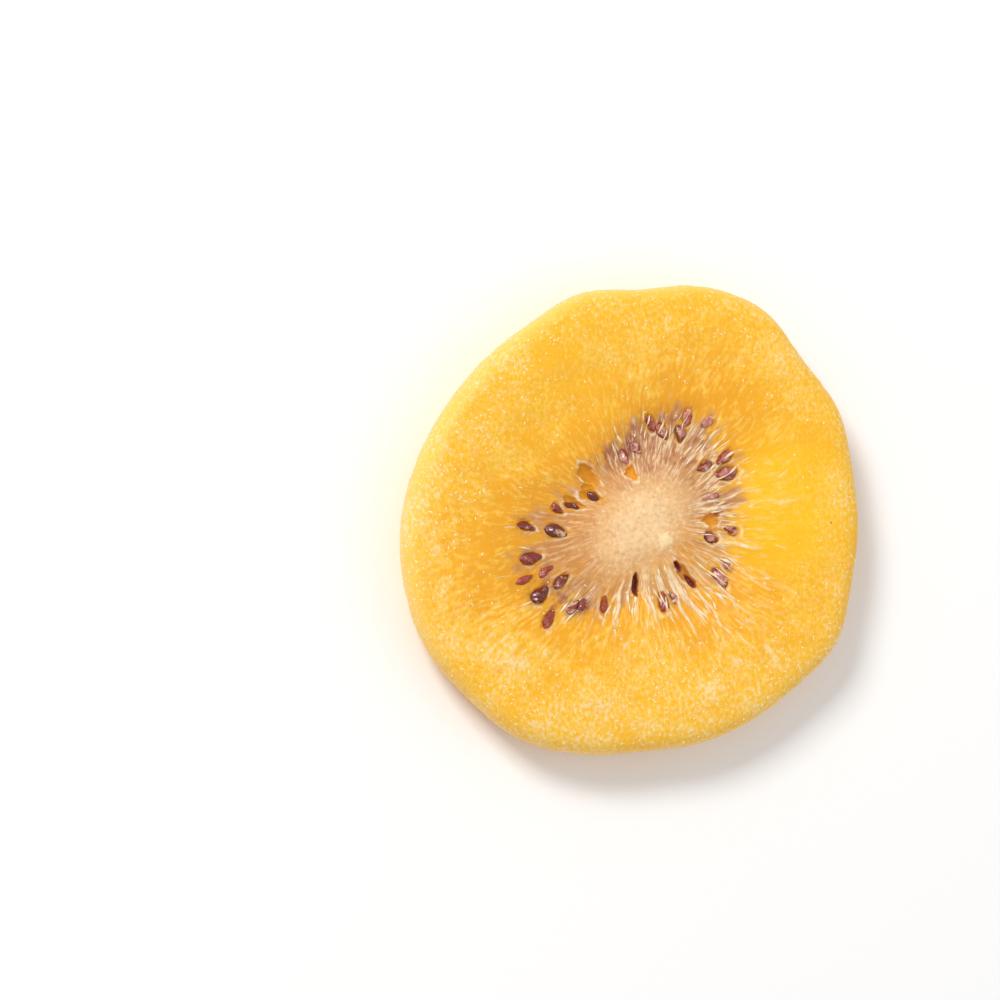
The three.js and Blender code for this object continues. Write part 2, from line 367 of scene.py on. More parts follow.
def repeatable(state: int) -> Iterator[float]:
    """Yield the draws between 0 and 1 that place the CAD solid's lower seeds.

    Args:
        state: Number that the draws start from.

    Returns:
        The draws, without an end.
    """
    while True:
        state = (state + 0x6D2B79F5) & WORD
        mixed = (state ^ state >> 15) * (1 | state) & WORD
        mixed = (mixed + (mixed ^ mixed >> 7) * (61 | mixed) & WORD) ^ mixed
        yield (mixed ^ mixed >> 14) / (WORD + 1)


@dataclass(frozen=True)
class UnderSeedRule:
    """How the lower face's seeds stand, in millimetres and degrees."""

    count: int = 22
    length: tuple[float, float] = (1.8, 2.3)
    width: tuple[float, float] = (0.95, 1.25)
    share: tuple[float, float] = (0.68, 0.95)
    spread: float = 0.3
    swing: float = 14.0
    veiled: float = 0.25
    random_seed: int = 1207
    look_seed: int = 12

    def seeds(self, reach: Sequence[float]) -> tuple[Seed, ...]:
        """Draw the seeds of the lower face.

        Args:
            reach: How far the seeds stand from the core, at even bearings.

        Returns:
            One seed to each even bearing, a little out of its place.
        """
        draws, look = repeatable(self.random_seed), np.random.default_rng(self.look_seed)

        def between(low: float, high: float) -> float:
            """The next draw, between two values."""
            return low + (high - low) * next(draws)

        made = []
        for index in range(self.count):
            place = index + between(-self.spread, self.spread)
            bearing = 360.0 * place / self.count
            radius = between(*self.share) * float(closed_curve(reach, np.array(bearing)))
            turn = math.radians(bearing)
            made.append(
                Seed(
                    x=radius * math.cos(turn),
                    y=radius * math.sin(turn),
                    length=between(*self.length),
                    width=between(*self.width),
                    bearing=bearing + 180.0 + between(-self.swing, self.swing),
                    state=VEILED if look.random() < self.veiled else BARE,
                    tone=look.random(),
                )
            )
        return tuple(made)


class Ridges:
    """The walls of flesh on one face, each on its own wandering path."""

    def __init__(self, sizes: RidgeSizes, random_seed: int) -> None:
        """Draw the ridges.

        Args:
            sizes: Their sizes.
            random_seed: Seed of the draw.
        """
        draw = np.random.default_rng(random_seed)
        self.sizes = sizes
        place = np.arange(sizes.count) + draw.uniform(-sizes.spread, sizes.spread, sizes.count)
        self.bearing = 360.0 * place / sizes.count
        self.height = draw.uniform(*sizes.height, sizes.count)
        self.width = draw.uniform(*sizes.width, sizes.count)
        self.start = closed_curve(FIBRES.start, self.bearing)
        stretch = closed_curve(FIBRES.stretch, self.bearing)
        self.end = draw.uniform(*sizes.end, sizes.count) * stretch
        strength = closed_curve(FIBRES.strength, self.bearing)
        self.height *= sizes.faintest + (1.0 - sizes.faintest) * strength
        self.phase = draw.uniform(0.0, math.tau, sizes.count)
        self.lean = draw.uniform(-sizes.wander, sizes.wander, sizes.count)

    def bearing_at(self, index: int, share: Array) -> Array:
        """Bearing of a ridge's path at shares of the seeds' reach.

        Args:
            index: Which ridge.
            share: Places along it, as shares of the seeds' reach.

        Returns:
            The bearing at each place, in degrees.
        """
        phase, lean = self.phase[index], self.lean[index] * (share - 0.7)
        wave = np.sin(6.0 * share + phase) + 0.5 * np.sin(19.0 * share + 2.0 * phase)
        return self.bearing[index] + lean + self.sizes.wave * wave

    def height_at(self, bearing: Array, radius: Array, share: Array) -> Array:
        """How far the ridges raise the flesh.

        Args:
            bearing: The places' bearings, in degrees.
            radius: Their distance from the core's middle.
            share: The same distance as a share of the seeds' reach.

        Returns:
            The rise at each place, in millimetres.
        """
        sizes, total = self.sizes, np.zeros_like(radius)
        near = share < self.end.max()
        bearing, radius, share = bearing[near], radius[near], share[near]
        risen = np.zeros(near.sum())
        for index in range(sizes.count):
            off = (bearing - self.bearing_at(index, share) + 180.0) % 360.0 - 180.0
            apart = np.radians(off) * radius
            start, end = self.start[index], self.end[index]
            lasts = 1.0 - smooth(share, end - sizes.end_fade, end)
            starts = smooth(share, start, start + sizes.start_fade)
            rise = self.height[index] * bell(apart, 0.0, self.width[index]) * lasts * starts
            risen = np.maximum(risen, rise)
        total[near] = risen
        return total


class SliceForm:
    """The slice's surface as formulas, in millimetres about the middle of the core."""

    def __init__(
        self, sizes: SliceSizes, pits: PitSizes, ridges: RidgeSizes, under: UnderSeedRule
    ) -> None:
        """Keep the sizes and draw what is random.

        Args:
            sizes: Sizes of the flesh.
            pits: Sizes of the pits.
            ridges: Sizes of the ridges.
            under: Rule of the lower face's seeds.
        """
        self.sizes = sizes
        self.pits = pits
        self.seeds = {Face.UPPER: UPPER_SEEDS, Face.LOWER: under.seeds(sizes.reach)}
        self.ridges = {face: Ridges(ridges, ridges.random_seed + face.value) for face in Face}
        self.section = self._section_samples(sizes.section_samples)

    def _section_samples(self, count: int) -> Array:
        """Points along the half section, from the upper face's middle to the lower one's.

        Args:
            count: How many steps there are between them.

        Returns:
            Radius and height of each point.
        """
        corners = np.asarray(self.sizes.section, float)
        place = np.linspace(0.0, len(corners) - 1.0, count + 1)
        first = np.minimum(np.floor(place).astype(int), len(corners) - 2)
        picks = [np.clip(first + k, 0, len(corners) - 1) for k in (-1, 0, 1, 2)]
        weight = place - first
        columns = [cubic(weight, [corners[p, axis] for p in picks]) for axis in (0, 1)]
        return np.stack(columns, axis=1)

    def outline(self, bearing: Array) -> Array:
        """Radius of the slice's outline."""
        return closed_curve(self.sizes.outline, bearing)

    def nicks(self, bearing: Array, level: Array) -> Array:
        """How far small hollows push the rim in, in millimetres.

        Args:
            bearing: The places' bearings, in degrees.
            level: Their height on the rim.

        Returns:
            The way in, at each place.
        """
        turn = np.radians(bearing)
        waves = np.sin(17.0 * turn + 0.8 * level) + np.sin(29.0 * turn + 1.3 * level + 1.0)
        waves += 0.7 * np.sin(53.0 * turn - 1.7 * level + 2.0)
        waves += 0.5 * np.sin(83.0 * turn + 2.0 * level)
        return self.sizes.nick_depth * np.clip(waves / 3.2, -1.0, 1.0) ** 2

    def seed_share(self, x: Array, y: Array) -> Array:
        """Distance from the core's middle as a share of the seeds' reach."""
        return np.hypot(x, y) / closed_curve(self.sizes.reach, np.degrees(np.arctan2(y, x)))

    def core_swell(self, x: Array, y: Array, size: float = 1.0) -> Array:
        """1 in the middle of the core's oval, near 0 at its edge.

        Args:
            x: The places' x.
            y: The places' y.
            size: How much larger the oval is made.

        Returns:
            The swell at each place.
        """
        turn = math.radians(self.sizes.core_turn)
        along = (x * math.cos(turn) + y * math.sin(turn)) / (self.sizes.core_half[0] * size)
        across = (y * math.cos(turn) - x * math.sin(turn)) / (self.sizes.core_half[1] * size)
        return np.exp(-(along**2) - across**2)

    def lumps(self, x: Array, y: Array) -> Array:
        """Broad lumps of the dried flesh.

        Args:
            x: The places' x.
            y: The places' y.

        Returns:
            The rise at each place, in millimetres.
        """
        broad = np.sin(0.52 * x + 1.3) * np.sin(0.47 * y + 0.4)
        narrow = np.sin(1.15 * x - 0.7 * y + 2.0) * np.sin(0.6 * x + 1.05 * y)
        return self.sizes.lump_height * (broad + 0.6 * narrow)

    def warp(self, bearing: Array, share: Array) -> Array:
        """Rise of the warped slice between its three low places."""
        lift = (1.0 - np.cos(3.0 * np.radians(bearing - self.sizes.warp_bearing))) / 2.0
        return self.sizes.warp_height * lift * share**2

    def plain_relief(self, x: Array, y: Array, share: Array) -> Array:
        """How far a cut face stands above its plain section, without its fine parts.

        Args:
            x: The places' x.
            y: The places' y.
            share: Their distance from the core as a share of the outline's radius.

        Returns:
            The rise away from the slice's middle, in millimetres.
        """
        sizes = self.sizes
        fade = 1.0 - smooth(share, *sizes.fade)
        trough = bell(self.seed_share(x, y), sizes.trough_share, sizes.trough_width)
        core = sizes.core_rise * self.core_swell(x, y)
        return fade * (core - sizes.trough_depth * trough + self.lumps(x, y))

    def pit_relief(self, x: Array, y: Array, face: Face) -> Array:
        """How far the pits and their lips lower or raise a face.

        Args:
            x: The places' x.
            y: The places' y.
            face: Which face.

        Returns:
            The rise, or the drop where it is below 0, in millimetres.
        """
        pits = self.pits
        bowl, lip = np.zeros_like(x), np.zeros_like(x)
        for seed in self.seeds[face]:
            near = np.hypot(x - seed.x, y - seed.y) < seed.length + 1.0
            away = seed.across(x[near], y[near], pits.margin)
            ring = bell(away, pits.lip_place, pits.lip_width)
            if seed.state is VEILED:
                lip[near] = np.maximum(lip[near], pits.veil_rise * bell(away, 0.0, 1.0))
                continue
            depth = pits.depths[seed.state]
            sunk = depth * np.clip(1.0 - away**pits.bowl_power, 0.0, 1.0)
            bowl[near] = np.maximum(bowl[near], sunk)
            broken = np.clip(0.5 + np.sin(2.3 * x[near] - 1.9 * y[near] + 3.0 * seed.x), 0.0, 1.0)
            lip[near] = np.maximum(lip[near], pits.lip_height * ring * broken)
        return lip - bowl

    def bright_lump(self, x: Array, y: Array) -> Array:
        """1 on the bright lump at the core's edge, near 0 a millimetre off."""
        middle = self.sizes.bright_lump
        return bell(np.hypot(x - middle[0], y - middle[1]), 0.0, 1.0)

    def core_lumps(self, x: Array, y: Array, face: Face) -> Array:
        """Small lumps of the core's own tissue.

        Args:
            x: The places' x.
            y: The places' y.
            face: Which face.

        Returns:
            The rise at each place, in millimetres.
        """
        lump = 0.2 * self.bright_lump(x, y) if face is Face.UPPER else 0.0
        grain = np.sin(3.1 * x + 0.8 * y) * np.sin(2.7 * y - 0.9 * x + 1.0)
        return lump + 0.035 * grain * self.core_swell(x, y, 1.3)

    def level(self, share: Array, face: Face) -> Array:
        """Height of the plain section at a share of the outline's radius.

        Args:
            share: Distance from the core, as a share of the radius.
            face: Which face.

        Returns:
            The height at each place, in millimetres.
        """
        upper = self.section[:, 1] > self.sizes.rim_level
        side = self.section[upper if face is Face.UPPER else ~upper]
        side = side[np.argsort(side[:, 0])]
        return np.interp(share * self.sizes.section_radius, side[:, 0], side[:, 1])

    def height(self, x: Array, y: Array, face: Face, fine: bool = False) -> Array:
        """Height of a face.

        Args:
            x: The places' x.
            y: The places' y.
            face: Which face.
            fine: Whether ridges and pits count.

        Returns:
            The face's height at each place, in millimetres.
        """
        bearing = np.degrees(np.arctan2(y, x))
        radius = np.hypot(x, y)
        share = radius / self.outline(bearing)
        relief = self.plain_relief(x, y, share)
        if fine:
            relief = relief + self.ridges[face].height_at(bearing, radius, self.seed_share(x, y))
            relief = relief + self.pit_relief(x, y, face) + self.core_lumps(x, y, face)
        return self.level(share, face) + self.warp(bearing, share) + face.value * relief

    def middle(self, face: Face, fine: bool = True) -> float:
        """Height of a face at the middle of the core."""
        return self.height(np.zeros(1), np.zeros(1), face, fine)[0]


@dataclass(frozen=True)
class Placement:
    """Turns millimetres about the core into metres in the part's frame."""

    shift: Array
    scale: Array

    def place(self, points: Array) -> Array:
        """The points in metres in the part's frame."""
        return (points + self.shift) * self.scale * MM

    @classmethod
    def inside(cls, points: Array, inset: float) -> "Placement":
        """Fit points into the CAD solid's box, a little inside it.

        Args:
            points: The surface's points, in millimetres about the core.
            inset: How far inside the box the surface stays, in millimetres.

        Returns:
            The placement that does it.
        """
        low, high = (np.array(corner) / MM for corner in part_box(NODE))
        own_low, own_high = points.min(axis=0), points.max(axis=0)
        shift = np.array([*(-(own_low + own_high)[:2] / 2.0), -own_low[2]])
        room = np.array([2.0 * inset, 2.0 * inset, inset])
        return cls(shift, np.minimum(1.0, (high - low - room) / (own_high - own_low)))


# Node trees


class Wire:
    """A socket of a node tree that takes part in arithmetic."""

    def __init__(self, graph: "Graph", socket: bpy.types.NodeSocket) -> None:
        """Keep the tree and the socket."""
        self.graph = graph
        self.socket = socket

    def _math(self, operation: str, *operands: Any) -> "Wire":
        """A Math node on this socket's tree."""
        return self.graph.node("ShaderNodeMath", {"operation": operation}, *operands)

    def __add__(self, other: Any) -> "Wire":
        """Sum."""
        return self._math("ADD", self, other)

    def __radd__(self, other: Any) -> "Wire":
        """Sum, with a number on the left."""
        return self._math("ADD", other, self)

    def __sub__(self, other: Any) -> "Wire":
        """Difference."""
        return self._math("SUBTRACT", self, other)

    def __rsub__(self, other: Any) -> "Wire":
        """Difference, with a number on the left."""
        return self._math("SUBTRACT", other, self)

    def __mul__(self, other: Any) -> "Wire":
        """Product."""
        return self._math("MULTIPLY", self, other)

    def __rmul__(self, other: Any) -> "Wire":
        """Product, with a number on the left."""
        return self._math("MULTIPLY", other, self)

    def __truediv__(self, other: Any) -> "Wire":
        """Quotient."""
        return self._math("DIVIDE", self, other)

    def __rtruediv__(self, other: Any) -> "Wire":
        """Quotient, with a number on the left."""
        return self._math("DIVIDE", other, self)

    def __abs__(self) -> "Wire":
        """Size without its sign."""
        return self._math("ABSOLUTE", self)

    def at_most(self, other: Any) -> "Wire":
        """The smaller of the two."""
        return self._math("MINIMUM", self, other)

    def at_least(self, other: Any) -> "Wire":
        """The larger of the two."""
        return self._math("MAXIMUM", self, other)

    def smooth(self, low: float, high: float) -> "Wire":
        """Ease from 0 at low to 1 at high; the other way round if low is above high.

        Args:
            low: Where the ease leaves 0.
            high: Where it reaches 1.

        Returns:
            The eased value.
        """
        settings = {"interpolation_type": "SMOOTHSTEP"}
        if low < high:
            return self.graph.node("ShaderNodeMapRange", settings, self, low, high, 0.0, 1.0)
        return self.graph.node("ShaderNodeMapRange", settings, self, high, low, 1.0, 0.0)


class Graph:
    """Adds nodes to a node tree."""

    def __init__(self, tree: bpy.types.NodeTree) -> None:
        """Start on a tree with no nodes."""
        self.tree = tree
        tree.nodes.clear()

    def node(
        self,
        kind: str,
        settings: Mapping[str, Any] | None = None,
        *values: Any,
        named: Mapping[str, Any] | None = None,
        output: int | str = 0,
    ) -> Wire | None:
        """Add a node.

        Args:
            kind: The node's type.
            settings: Its properties, set before its inputs.
            values: Its first inputs in order, as numbers or wires; None leaves one as it is.
            named: Further inputs, by name or number.
            output: Which output to return.

        Returns:
            That output, or nothing for a node that ends the tree.
        """
        made = self.tree.nodes.new(kind)
        for name, value in (settings or {}).items():
            setattr(made, name, value)
        for key, value in [*enumerate(values), *(named or {}).items()]:
            if value is not None:
                self.feed(made.inputs[key], value)
        return Wire(self, made.outputs[output]) if made.outputs else None

    def feed(self, socket: bpy.types.NodeSocket, value: Any) -> None:
        """Link a wire to a socket, or set the socket's own value.

        Args:
            socket: The input to feed.
            value: A wire, a number, a colour or a name.
        """
        if isinstance(value, Wire):
            self.tree.links.new(value.socket, socket)
        elif isinstance(value, tuple) and len(value) == 3 and socket.type == "RGBA":
            socket.default_value = (*value, 1.0)
        else:
            socket.default_value = value

    def vector(self, operation: str, *operands: Any) -> Wire:
        """A Vector Math node."""
        return self.node("ShaderNodeVectorMath", {"operation": operation}, *operands)

    def mix(self, factor: Any, first: Any, second: Any) -> Wire:
        """Mix two colours.

        Args:
            factor: How much of the second.
            first: A colour or a wire.
            second: A colour or a wire.

        Returns:
            The mixed colour.
        """
        settings = {"data_type": "RGBA"}
        named = {0: factor, 6: first, 7: second}
        return self.node("ShaderNodeMix", settings, named=named, output=2)

    def attribute(self, name: str, output: str = "Fac") -> Wire:
        """A mesh attribute, in a shader."""
        return self.node("ShaderNodeAttribute", {"attribute_name": name}, output=output)

    def noise(
        self, vector: Wire, scale: float, detail: float = 2.0, roughness: float = 0.5
    ) -> Wire:
        """Noise between 0 and 1.

        Args:
            vector: Where to read it.
            scale: How many lumps there are to the vector's unit.
            detail: How many finer layers are added.
            roughness: How strong they are.

        Returns:
            The noise.
        """
        named = {"Vector": vector, "Scale": scale, "Detail": detail, "Roughness": roughness}
        return self.node("ShaderNodeTexNoise", None, named=named)

    def stretched(
        self, vector: Wire, scale: Triple, detail: float = 2.0, roughness: float = 0.5
    ) -> Wire:
        """Noise with its own scale along each axis of the vector.

        Args:
            vector: Where to read it.
            scale: How many lumps there are to the unit of each axis.
            detail: How many finer layers are added.
            roughness: How strong they are.

        Returns:
            The noise.
        """
        return self.noise(self.vector("MULTIPLY", vector, scale), 1.0, detail, roughness)

    def ripples(self, vector: Wire, scale: Triple) -> Wire:
        """Noise as thin lines: 0 on them and more away from them."""
        return abs(self.stretched(vector, scale, 1.0) * 2.0 - 1.0)

    def point(self) -> Wire:
        """The place on the object, in metres."""
        return self.node("ShaderNodeTexCoord", output="Object")


# Finishes


@dataclass(frozen=True)
class Finish:
    """What every finish has: a name, and a way to make its material."""

    name: str

    def shader(self, graph: Graph, varying: Mapping[str, Any], constant: Mapping[str, Any]) -> None:
        """End a material in one shader.

        Args:
            graph: The material's tree.
            varying: Inputs that nodes feed.
            constant: Inputs with one value.
        """
        body = graph.node("ShaderNodeBsdfPrincipled", None, named={**varying, **constant})
        graph.node("ShaderNodeOutputMaterial", None, body)

    def material(self) -> bpy.types.Material:
        """Make the material.

        Returns:
            The material.
        """
        made = bpy.data.materials.new(self.name)
        made.use_nodes = True
        self.build(Graph(made.node_tree))
        return made

    def build(self, graph: Graph) -> None:
        """Lay out the finish's nodes."""
        raise NotImplementedError


@dataclass(frozen=True)
class FleshFinish(Finish):
    """Sugared golden flesh with a pale core, a beige veil round it and fine pale fibres.

    The scales say how many lumps of noise there are to the metre.
    """

    name: str = "dried_flesh"
    golden: Colour = linear(250, 186, 32)
    deep: Colour = linear(255, 195, 18)
    amber: Colour = linear(240, 167, 26)
    # Orange painted shade for the rim's lower side, away from the light.
    low: Colour = linear(252, 160, 26)
    yellow: Colour = linear(255, 206, 80)
    grain: Colour = linear(255, 221, 166)
    peach: Colour = linear(250, 194, 116)
    # Pale sugared rim; its extra pallor on the upper left is painted light.
    rim: Colour = linear(252, 210, 112)
    veil: Colour = linear(208, 148, 92)
    brown: Colour = linear(196, 140, 104)
    fibre: Colour = linear(255, 228, 190)
    core: Colour = linear(235, 188, 132)
    core_pale: Colour = linear(246, 211, 163)
    lump: Colour = linear(255, 230, 178)
    # Colour of stains, also used for the painted shade at the pits' upper left side.
    stain: Colour = linear(152, 78, 46)
    pit: Colour = linear(232, 158, 14)
    slit: Colour = linear(136, 46, 26)
    broad_scale: float = 160.0
    patch_scale: float = 220.0
    mottle_scale: float = 900.0
    broken_scale: float = 1000.0
    peach_scale: float = 1500.0
    core_scales: tuple[float, float] = (800.0, 2200.0)
    crumb_scale: float = 3000.0
    bump_scale: float = 5200.0

    def build(self, graph: Graph) -> None:
        """Lay out the finish's nodes.

        Args:
            graph: The material's tree.
        """
        place, path = graph.point(), graph.attribute("path", "Vector")
        grain = self._grain(graph, place, path)
        hair = self._hair(graph, path)
        colour = self._body_colour(graph, place)
        colour = graph.mix(grain.smooth(0.36, 0.58) * 0.72, colour, self.yellow)
        peach = graph.noise(place, self.peach_scale).smooth(0.52, 0.66) * graph.attribute("frost")
        colour = graph.mix(peach * 0.4, colour, self.peach)
        # Fewer pale flecks where the orange painted shade lies on the rim's lower side.
        grain = grain.smooth(0.54, 0.72) * (1.0 - graph.attribute("low") * 0.6)
        colour = graph.mix(grain * 0.8, colour, self.grain)
        colour = self._veil(graph, place, path, colour)
        colour = self._core(graph, place, colour)
        colour = self._fibres(graph, place, colour, hair)
        colour = self._pits(graph, colour)
        height = graph.noise(place, self.bump_scale, 3.0) * 0.5 + grain * 0.6 + hair * 0.5
        bump = {"Strength": 0.4, "Distance": 0.00012, "Height": height}
        varying = {
            "Base Color": colour,
            "Roughness": 0.46 + grain * 0.16 + graph.attribute("pit") * 0.12,
            "Normal": graph.node("ShaderNodeBump", None, named=bump),
        }
        constant = {
            "Subsurface Weight": 0.35,
            "Subsurface Radius": (1.0, 0.42, 0.1),
            "Subsurface Scale": 0.0022,
            "IOR": 1.42,
            "Specular IOR Level": 0.45,
            "Sheen Weight": 0.06,
            "Sheen Roughness": 0.5,
        }
        self.shader(graph, varying, constant)

    def _body_colour(self, graph: Graph, place: Wire) -> Wire:
        """Amber by the seeds, golden further out, deeper in one part; paler at the rim, with
        painted light on its upper left, and orange painted shade on its lower side away from the
        light.

        Args:
            graph: The material's tree.
            place: The place on the object, in metres.

        Returns:
            The flesh's own colour.
        """
        ring = graph.attribute("ring")
        broad = graph.noise(place, self.broad_scale) - 0.5
        outward = (ring + broad * 0.9).smooth(1.0, 2.1)
        colour = graph.mix(outward, self.amber, self.golden)
        deep = (graph.attribute("deep") + broad * 0.5).smooth(0.15, 0.9)
        colour = graph.mix(deep, colour, self.deep)
        # Painted shade: the rim's lower side, away from the light, turns orange.
        colour = graph.mix(graph.attribute("low") * 0.95, colour, self.low)
        # Pale sugared rim all round, stronger on the lit upper left, where it is painted light.
        return graph.mix(graph.attribute("rim") * 0.7, colour, self.rim)

    def _grain(self, graph: Graph, place: Wire, path: Wire) -> Wire:
        """Level of the sugar grain: soft flecks, drawn out along the fibres near the seeds.

        Args:
            graph: The material's tree.
            place: The place on the object, in metres.
            path: Coordinates that run with the fibres.

        Returns:
            The level, about 0 to 1.
        """
        longish = graph.vector("MULTIPLY", place, (1.0, 0.7, 1.0))
        crumbs = graph.noise(longish, self.crumb_scale, 2.0, 0.6)
        radial = graph.stretched(path, (42.0, 42.0, 900.0), 1.5)
        inner = graph.attribute("ring").smooth(2.1, 1.2)
        patch = graph.noise(place, self.patch_scale, 3.0) - 0.5
        crumbs = crumbs + (radial - crumbs) * inner * 0.7
        return crumbs + patch * 0.5 + (graph.attribute("frost") - 0.75) * 0.14

    def _hair(self, graph: Graph, path: Wire) -> Wire:
        """Fine pale fibres that run out from the core.

        Args:
            graph: The material's tree.
            path: Coordinates that run with the fibres.

        Returns:
            How clearly a fibre shows.
        """
        ring, stretch = graph.attribute("ring"), graph.attribute("stretch")
        wide = graph.ripples(path, (9.0, 9.0, 130.0))
        fine = graph.ripples(path, (19.0, 19.0, 90.0))
        lines = (wide.smooth(0.09, 0.0) * 0.8).at_least(fine.smooth(0.12, 0.0) * 0.25)
        reach = graph.stretched(path, (9.0, 9.0, 0.0))
        lasts = (ring / stretch - reach * 1.3).smooth(0.75, 0.25)
        dashes = graph.stretched(path, (26.0, 26.0, 800.0), 1.0).smooth(0.42, 0.6)
        broken = 1.0 - (1.0 - dashes) * ring.smooth(0.7, 1.15)
        return lines * lasts * broken * graph.attribute("start") * graph.attribute("strength")

    def _veil(self, graph: Graph, place: Wire, path: Wire, colour: Wire) -> Wire:
        """The beige skin between the seeds, browner above the core, finely streaked.

        Args:
            graph: The material's tree.
            place: The place on the object, in metres.
            path: Coordinates that run with the fibres.
            colour: The colour so far.

        Returns:
            The colour with the skin on it.
        """
        broad = graph.stretched(path, (11.0, 11.0, 200.0)) - 0.5
        fine = graph.stretched(path, (28.0, 28.0, 700.0), 2.0, 0.6)
        mottle = graph.noise(place, self.mottle_scale, 3.0) - 0.5
        zone = graph.attribute("veil")
        veil = zone + broad * 0.6 + mottle * 0.5
        colour = graph.mix(veil.smooth(0.15, 0.7) * 0.88, colour, self.veil)
        colour = graph.mix(veil.smooth(0.65, 1.15) * 0.75, colour, self.brown)
        # Stains, and the painted shade at the pits' upper left side.
        stain = graph.attribute("stain") * (0.7 + broad * 2.0 + mottle * 3.5)
        colour = graph.mix(stain.at_least(0.0).at_most(0.92), colour, self.stain)
        streaked = zone.smooth(0.3, 0.9)
        dark = (mottle + fine * 0.3).smooth(0.15, 0.03)
        colour = graph.mix(dark * streaked * 0.5, colour, self.stain)
        strength = 0.15 + graph.attribute("strength") * 0.85
        fuzz = streaked.at_least(graph.attribute("fuzz") * strength)
        return graph.mix(fine.smooth(0.5, 0.66) * fuzz * 0.66, colour, self.fibre)

    def _core(self, graph: Graph, place: Wire, colour: Wire) -> Wire:
        """The pale core, granular, with one bright lump and painted shade in its small hollows.

        Args:
            graph: The material's tree.
            place: The place on the object, in metres.
            colour: The colour so far.

        Returns:
            The colour with the core in it.
        """
        soft, fine = self.core_scales
        grain = graph.noise(place, fine, 3.0, 0.6) - 0.5
        core = graph.attribute("core") + graph.noise(place, soft, 3.0) * 0.4 - 0.2
        colour = graph.mix(core.smooth(0.1, 0.6), colour, self.core)
        colour = graph.mix((core + grain * 0.4).smooth(0.45, 0.95) * 0.8, colour, self.core_pale)
        specks = grain.smooth(0.0, 0.2) * core.smooth(0.0, 0.5)
        colour = graph.mix(specks * 0.5, colour, self.lump)
        # Painted shade: darker beige specks where the core's grain is low, standing for shade in
        # small hollows.
        hollow_shade = (0.0 - grain).smooth(0.02, 0.2) * core.smooth(0.1, 0.5)
        colour = graph.mix(hollow_shade * 0.42, colour, self.veil)
        lump = (graph.attribute("lump") + grain * 1.2).smooth(0.3, 0.9)
        return graph.mix(lump * 0.9, colour, self.lump)

    def _fibres(self, graph: Graph, place: Wire, colour: Wire, hair: Wire) -> Wire:
        """Pale walls and hairs that run out between the seeds.

        Args:
            graph: The material's tree.
            place: The place on the object, in metres.
            colour: The colour so far.
            hair: How clearly a fine fibre shows.

        Returns:
            The colour with the fibres on it.
        """
        broken = graph.noise(place, self.broken_scale).smooth(0.32, 0.6)
        walls = graph.attribute("wall").smooth(0.1, 0.75)
        walls = walls * graph.attribute("start") * graph.attribute("strength")
        lines = walls.at_least(hair) * (0.35 + broken * 0.65)
        return graph.mix(lines, colour, self.fibre)

    def _pits(self, graph: Graph, colour: Wire) -> Wire:
        """Amber beds round the seeds, amber pits, browner under stains and where shade is painted
        on their upper left, dark slits and pale lips.

        Args:
            graph: The material's tree.
            colour: The colour so far.

        Returns:
            The colour with the pits in it.
        """
        broken = graph.noise(graph.point(), self.mottle_scale).smooth(0.42, 0.58)
        colour = graph.mix(graph.attribute("bed") * (1.0 - broken) * 0.5, colour, self.pit)
        colour = graph.mix(graph.attribute("lip") * broken * 0.7, colour, self.fibre)
        darkened = graph.mix(graph.attribute("stain"), self.pit, self.stain)
        colour = graph.mix(graph.attribute("pit") * 0.95, colour, darkened)
        return graph.mix(graph.attribute("slit"), colour, self.slit)


@dataclass(frozen=True)
class SeedFinish(Finish):
    """Dark maroon seed coat with fine pits, and a pale purple bloom that is painted only on each
    seed's top, partly as a painted sheen.
    """

    name: str = "seed_coat"
    dark: Colour = linear(92, 16, 16)
    red: Colour = linear(160, 50, 30)
    bloom: Colour = linear(200, 124, 116)
    film: Colour = linear(232, 192, 156)
    pit_scale: float = 7000.0
    mottle_scale: float = 1500.0
    bloom_scale: float = 1400.0
    film_scale: float = 1000.0

    def build(self, graph: Graph) -> None:
        """Lay out the finish's nodes.

        Args:
            graph: The material's tree.
        """
        place = graph.point()
        named = {"Vector": place, "Scale": self.pit_scale}
        cells = graph.node("ShaderNodeTexVoronoi", {"feature": "F1"}, named=named)
        mottle = graph.noise(place, self.mottle_scale, 3.0)
        tone, film = graph.attribute("tone"), graph.attribute("film")
        colour = graph.mix((tone + (mottle - 0.5) * 0.9).smooth(0.0, 1.0), self.dark, self.red)
        crown = graph.attribute("crown")
        cloud = graph.noise(place, self.bloom_scale, 2.5) - 0.5
        bloom = cloud * 1.6 + graph.attribute("bloom")
        # Painted sheen: the pale bloom is kept to each seed's top.
        bloom = bloom.smooth(0.0, 0.4) * crown.smooth(0.1, 0.75)
        colour = graph.mix(bloom * 0.85, colour, self.bloom)
        shifted = graph.vector("ADD", place, (0.3, 0.1, 0.2))
        patches = graph.noise(shifted, self.film_scale, 3.0, 0.6)
        colour = graph.mix((film + patches - 0.5).smooth(0.12, 0.26) * 0.8, colour, self.film)
        bump = {"Strength": 0.35, "Distance": 0.00008, "Height": cells + mottle}
        varying = {
            "Base Color": colour,
            "Roughness": 0.16 + mottle * 0.24 + film * 0.3,
            "Normal": graph.node("ShaderNodeBump", None, named=bump),
        }
        self.shader(graph, varying, {"Coat Weight": 0.6, "Coat Roughness": 0.09, "IOR": 1.5})


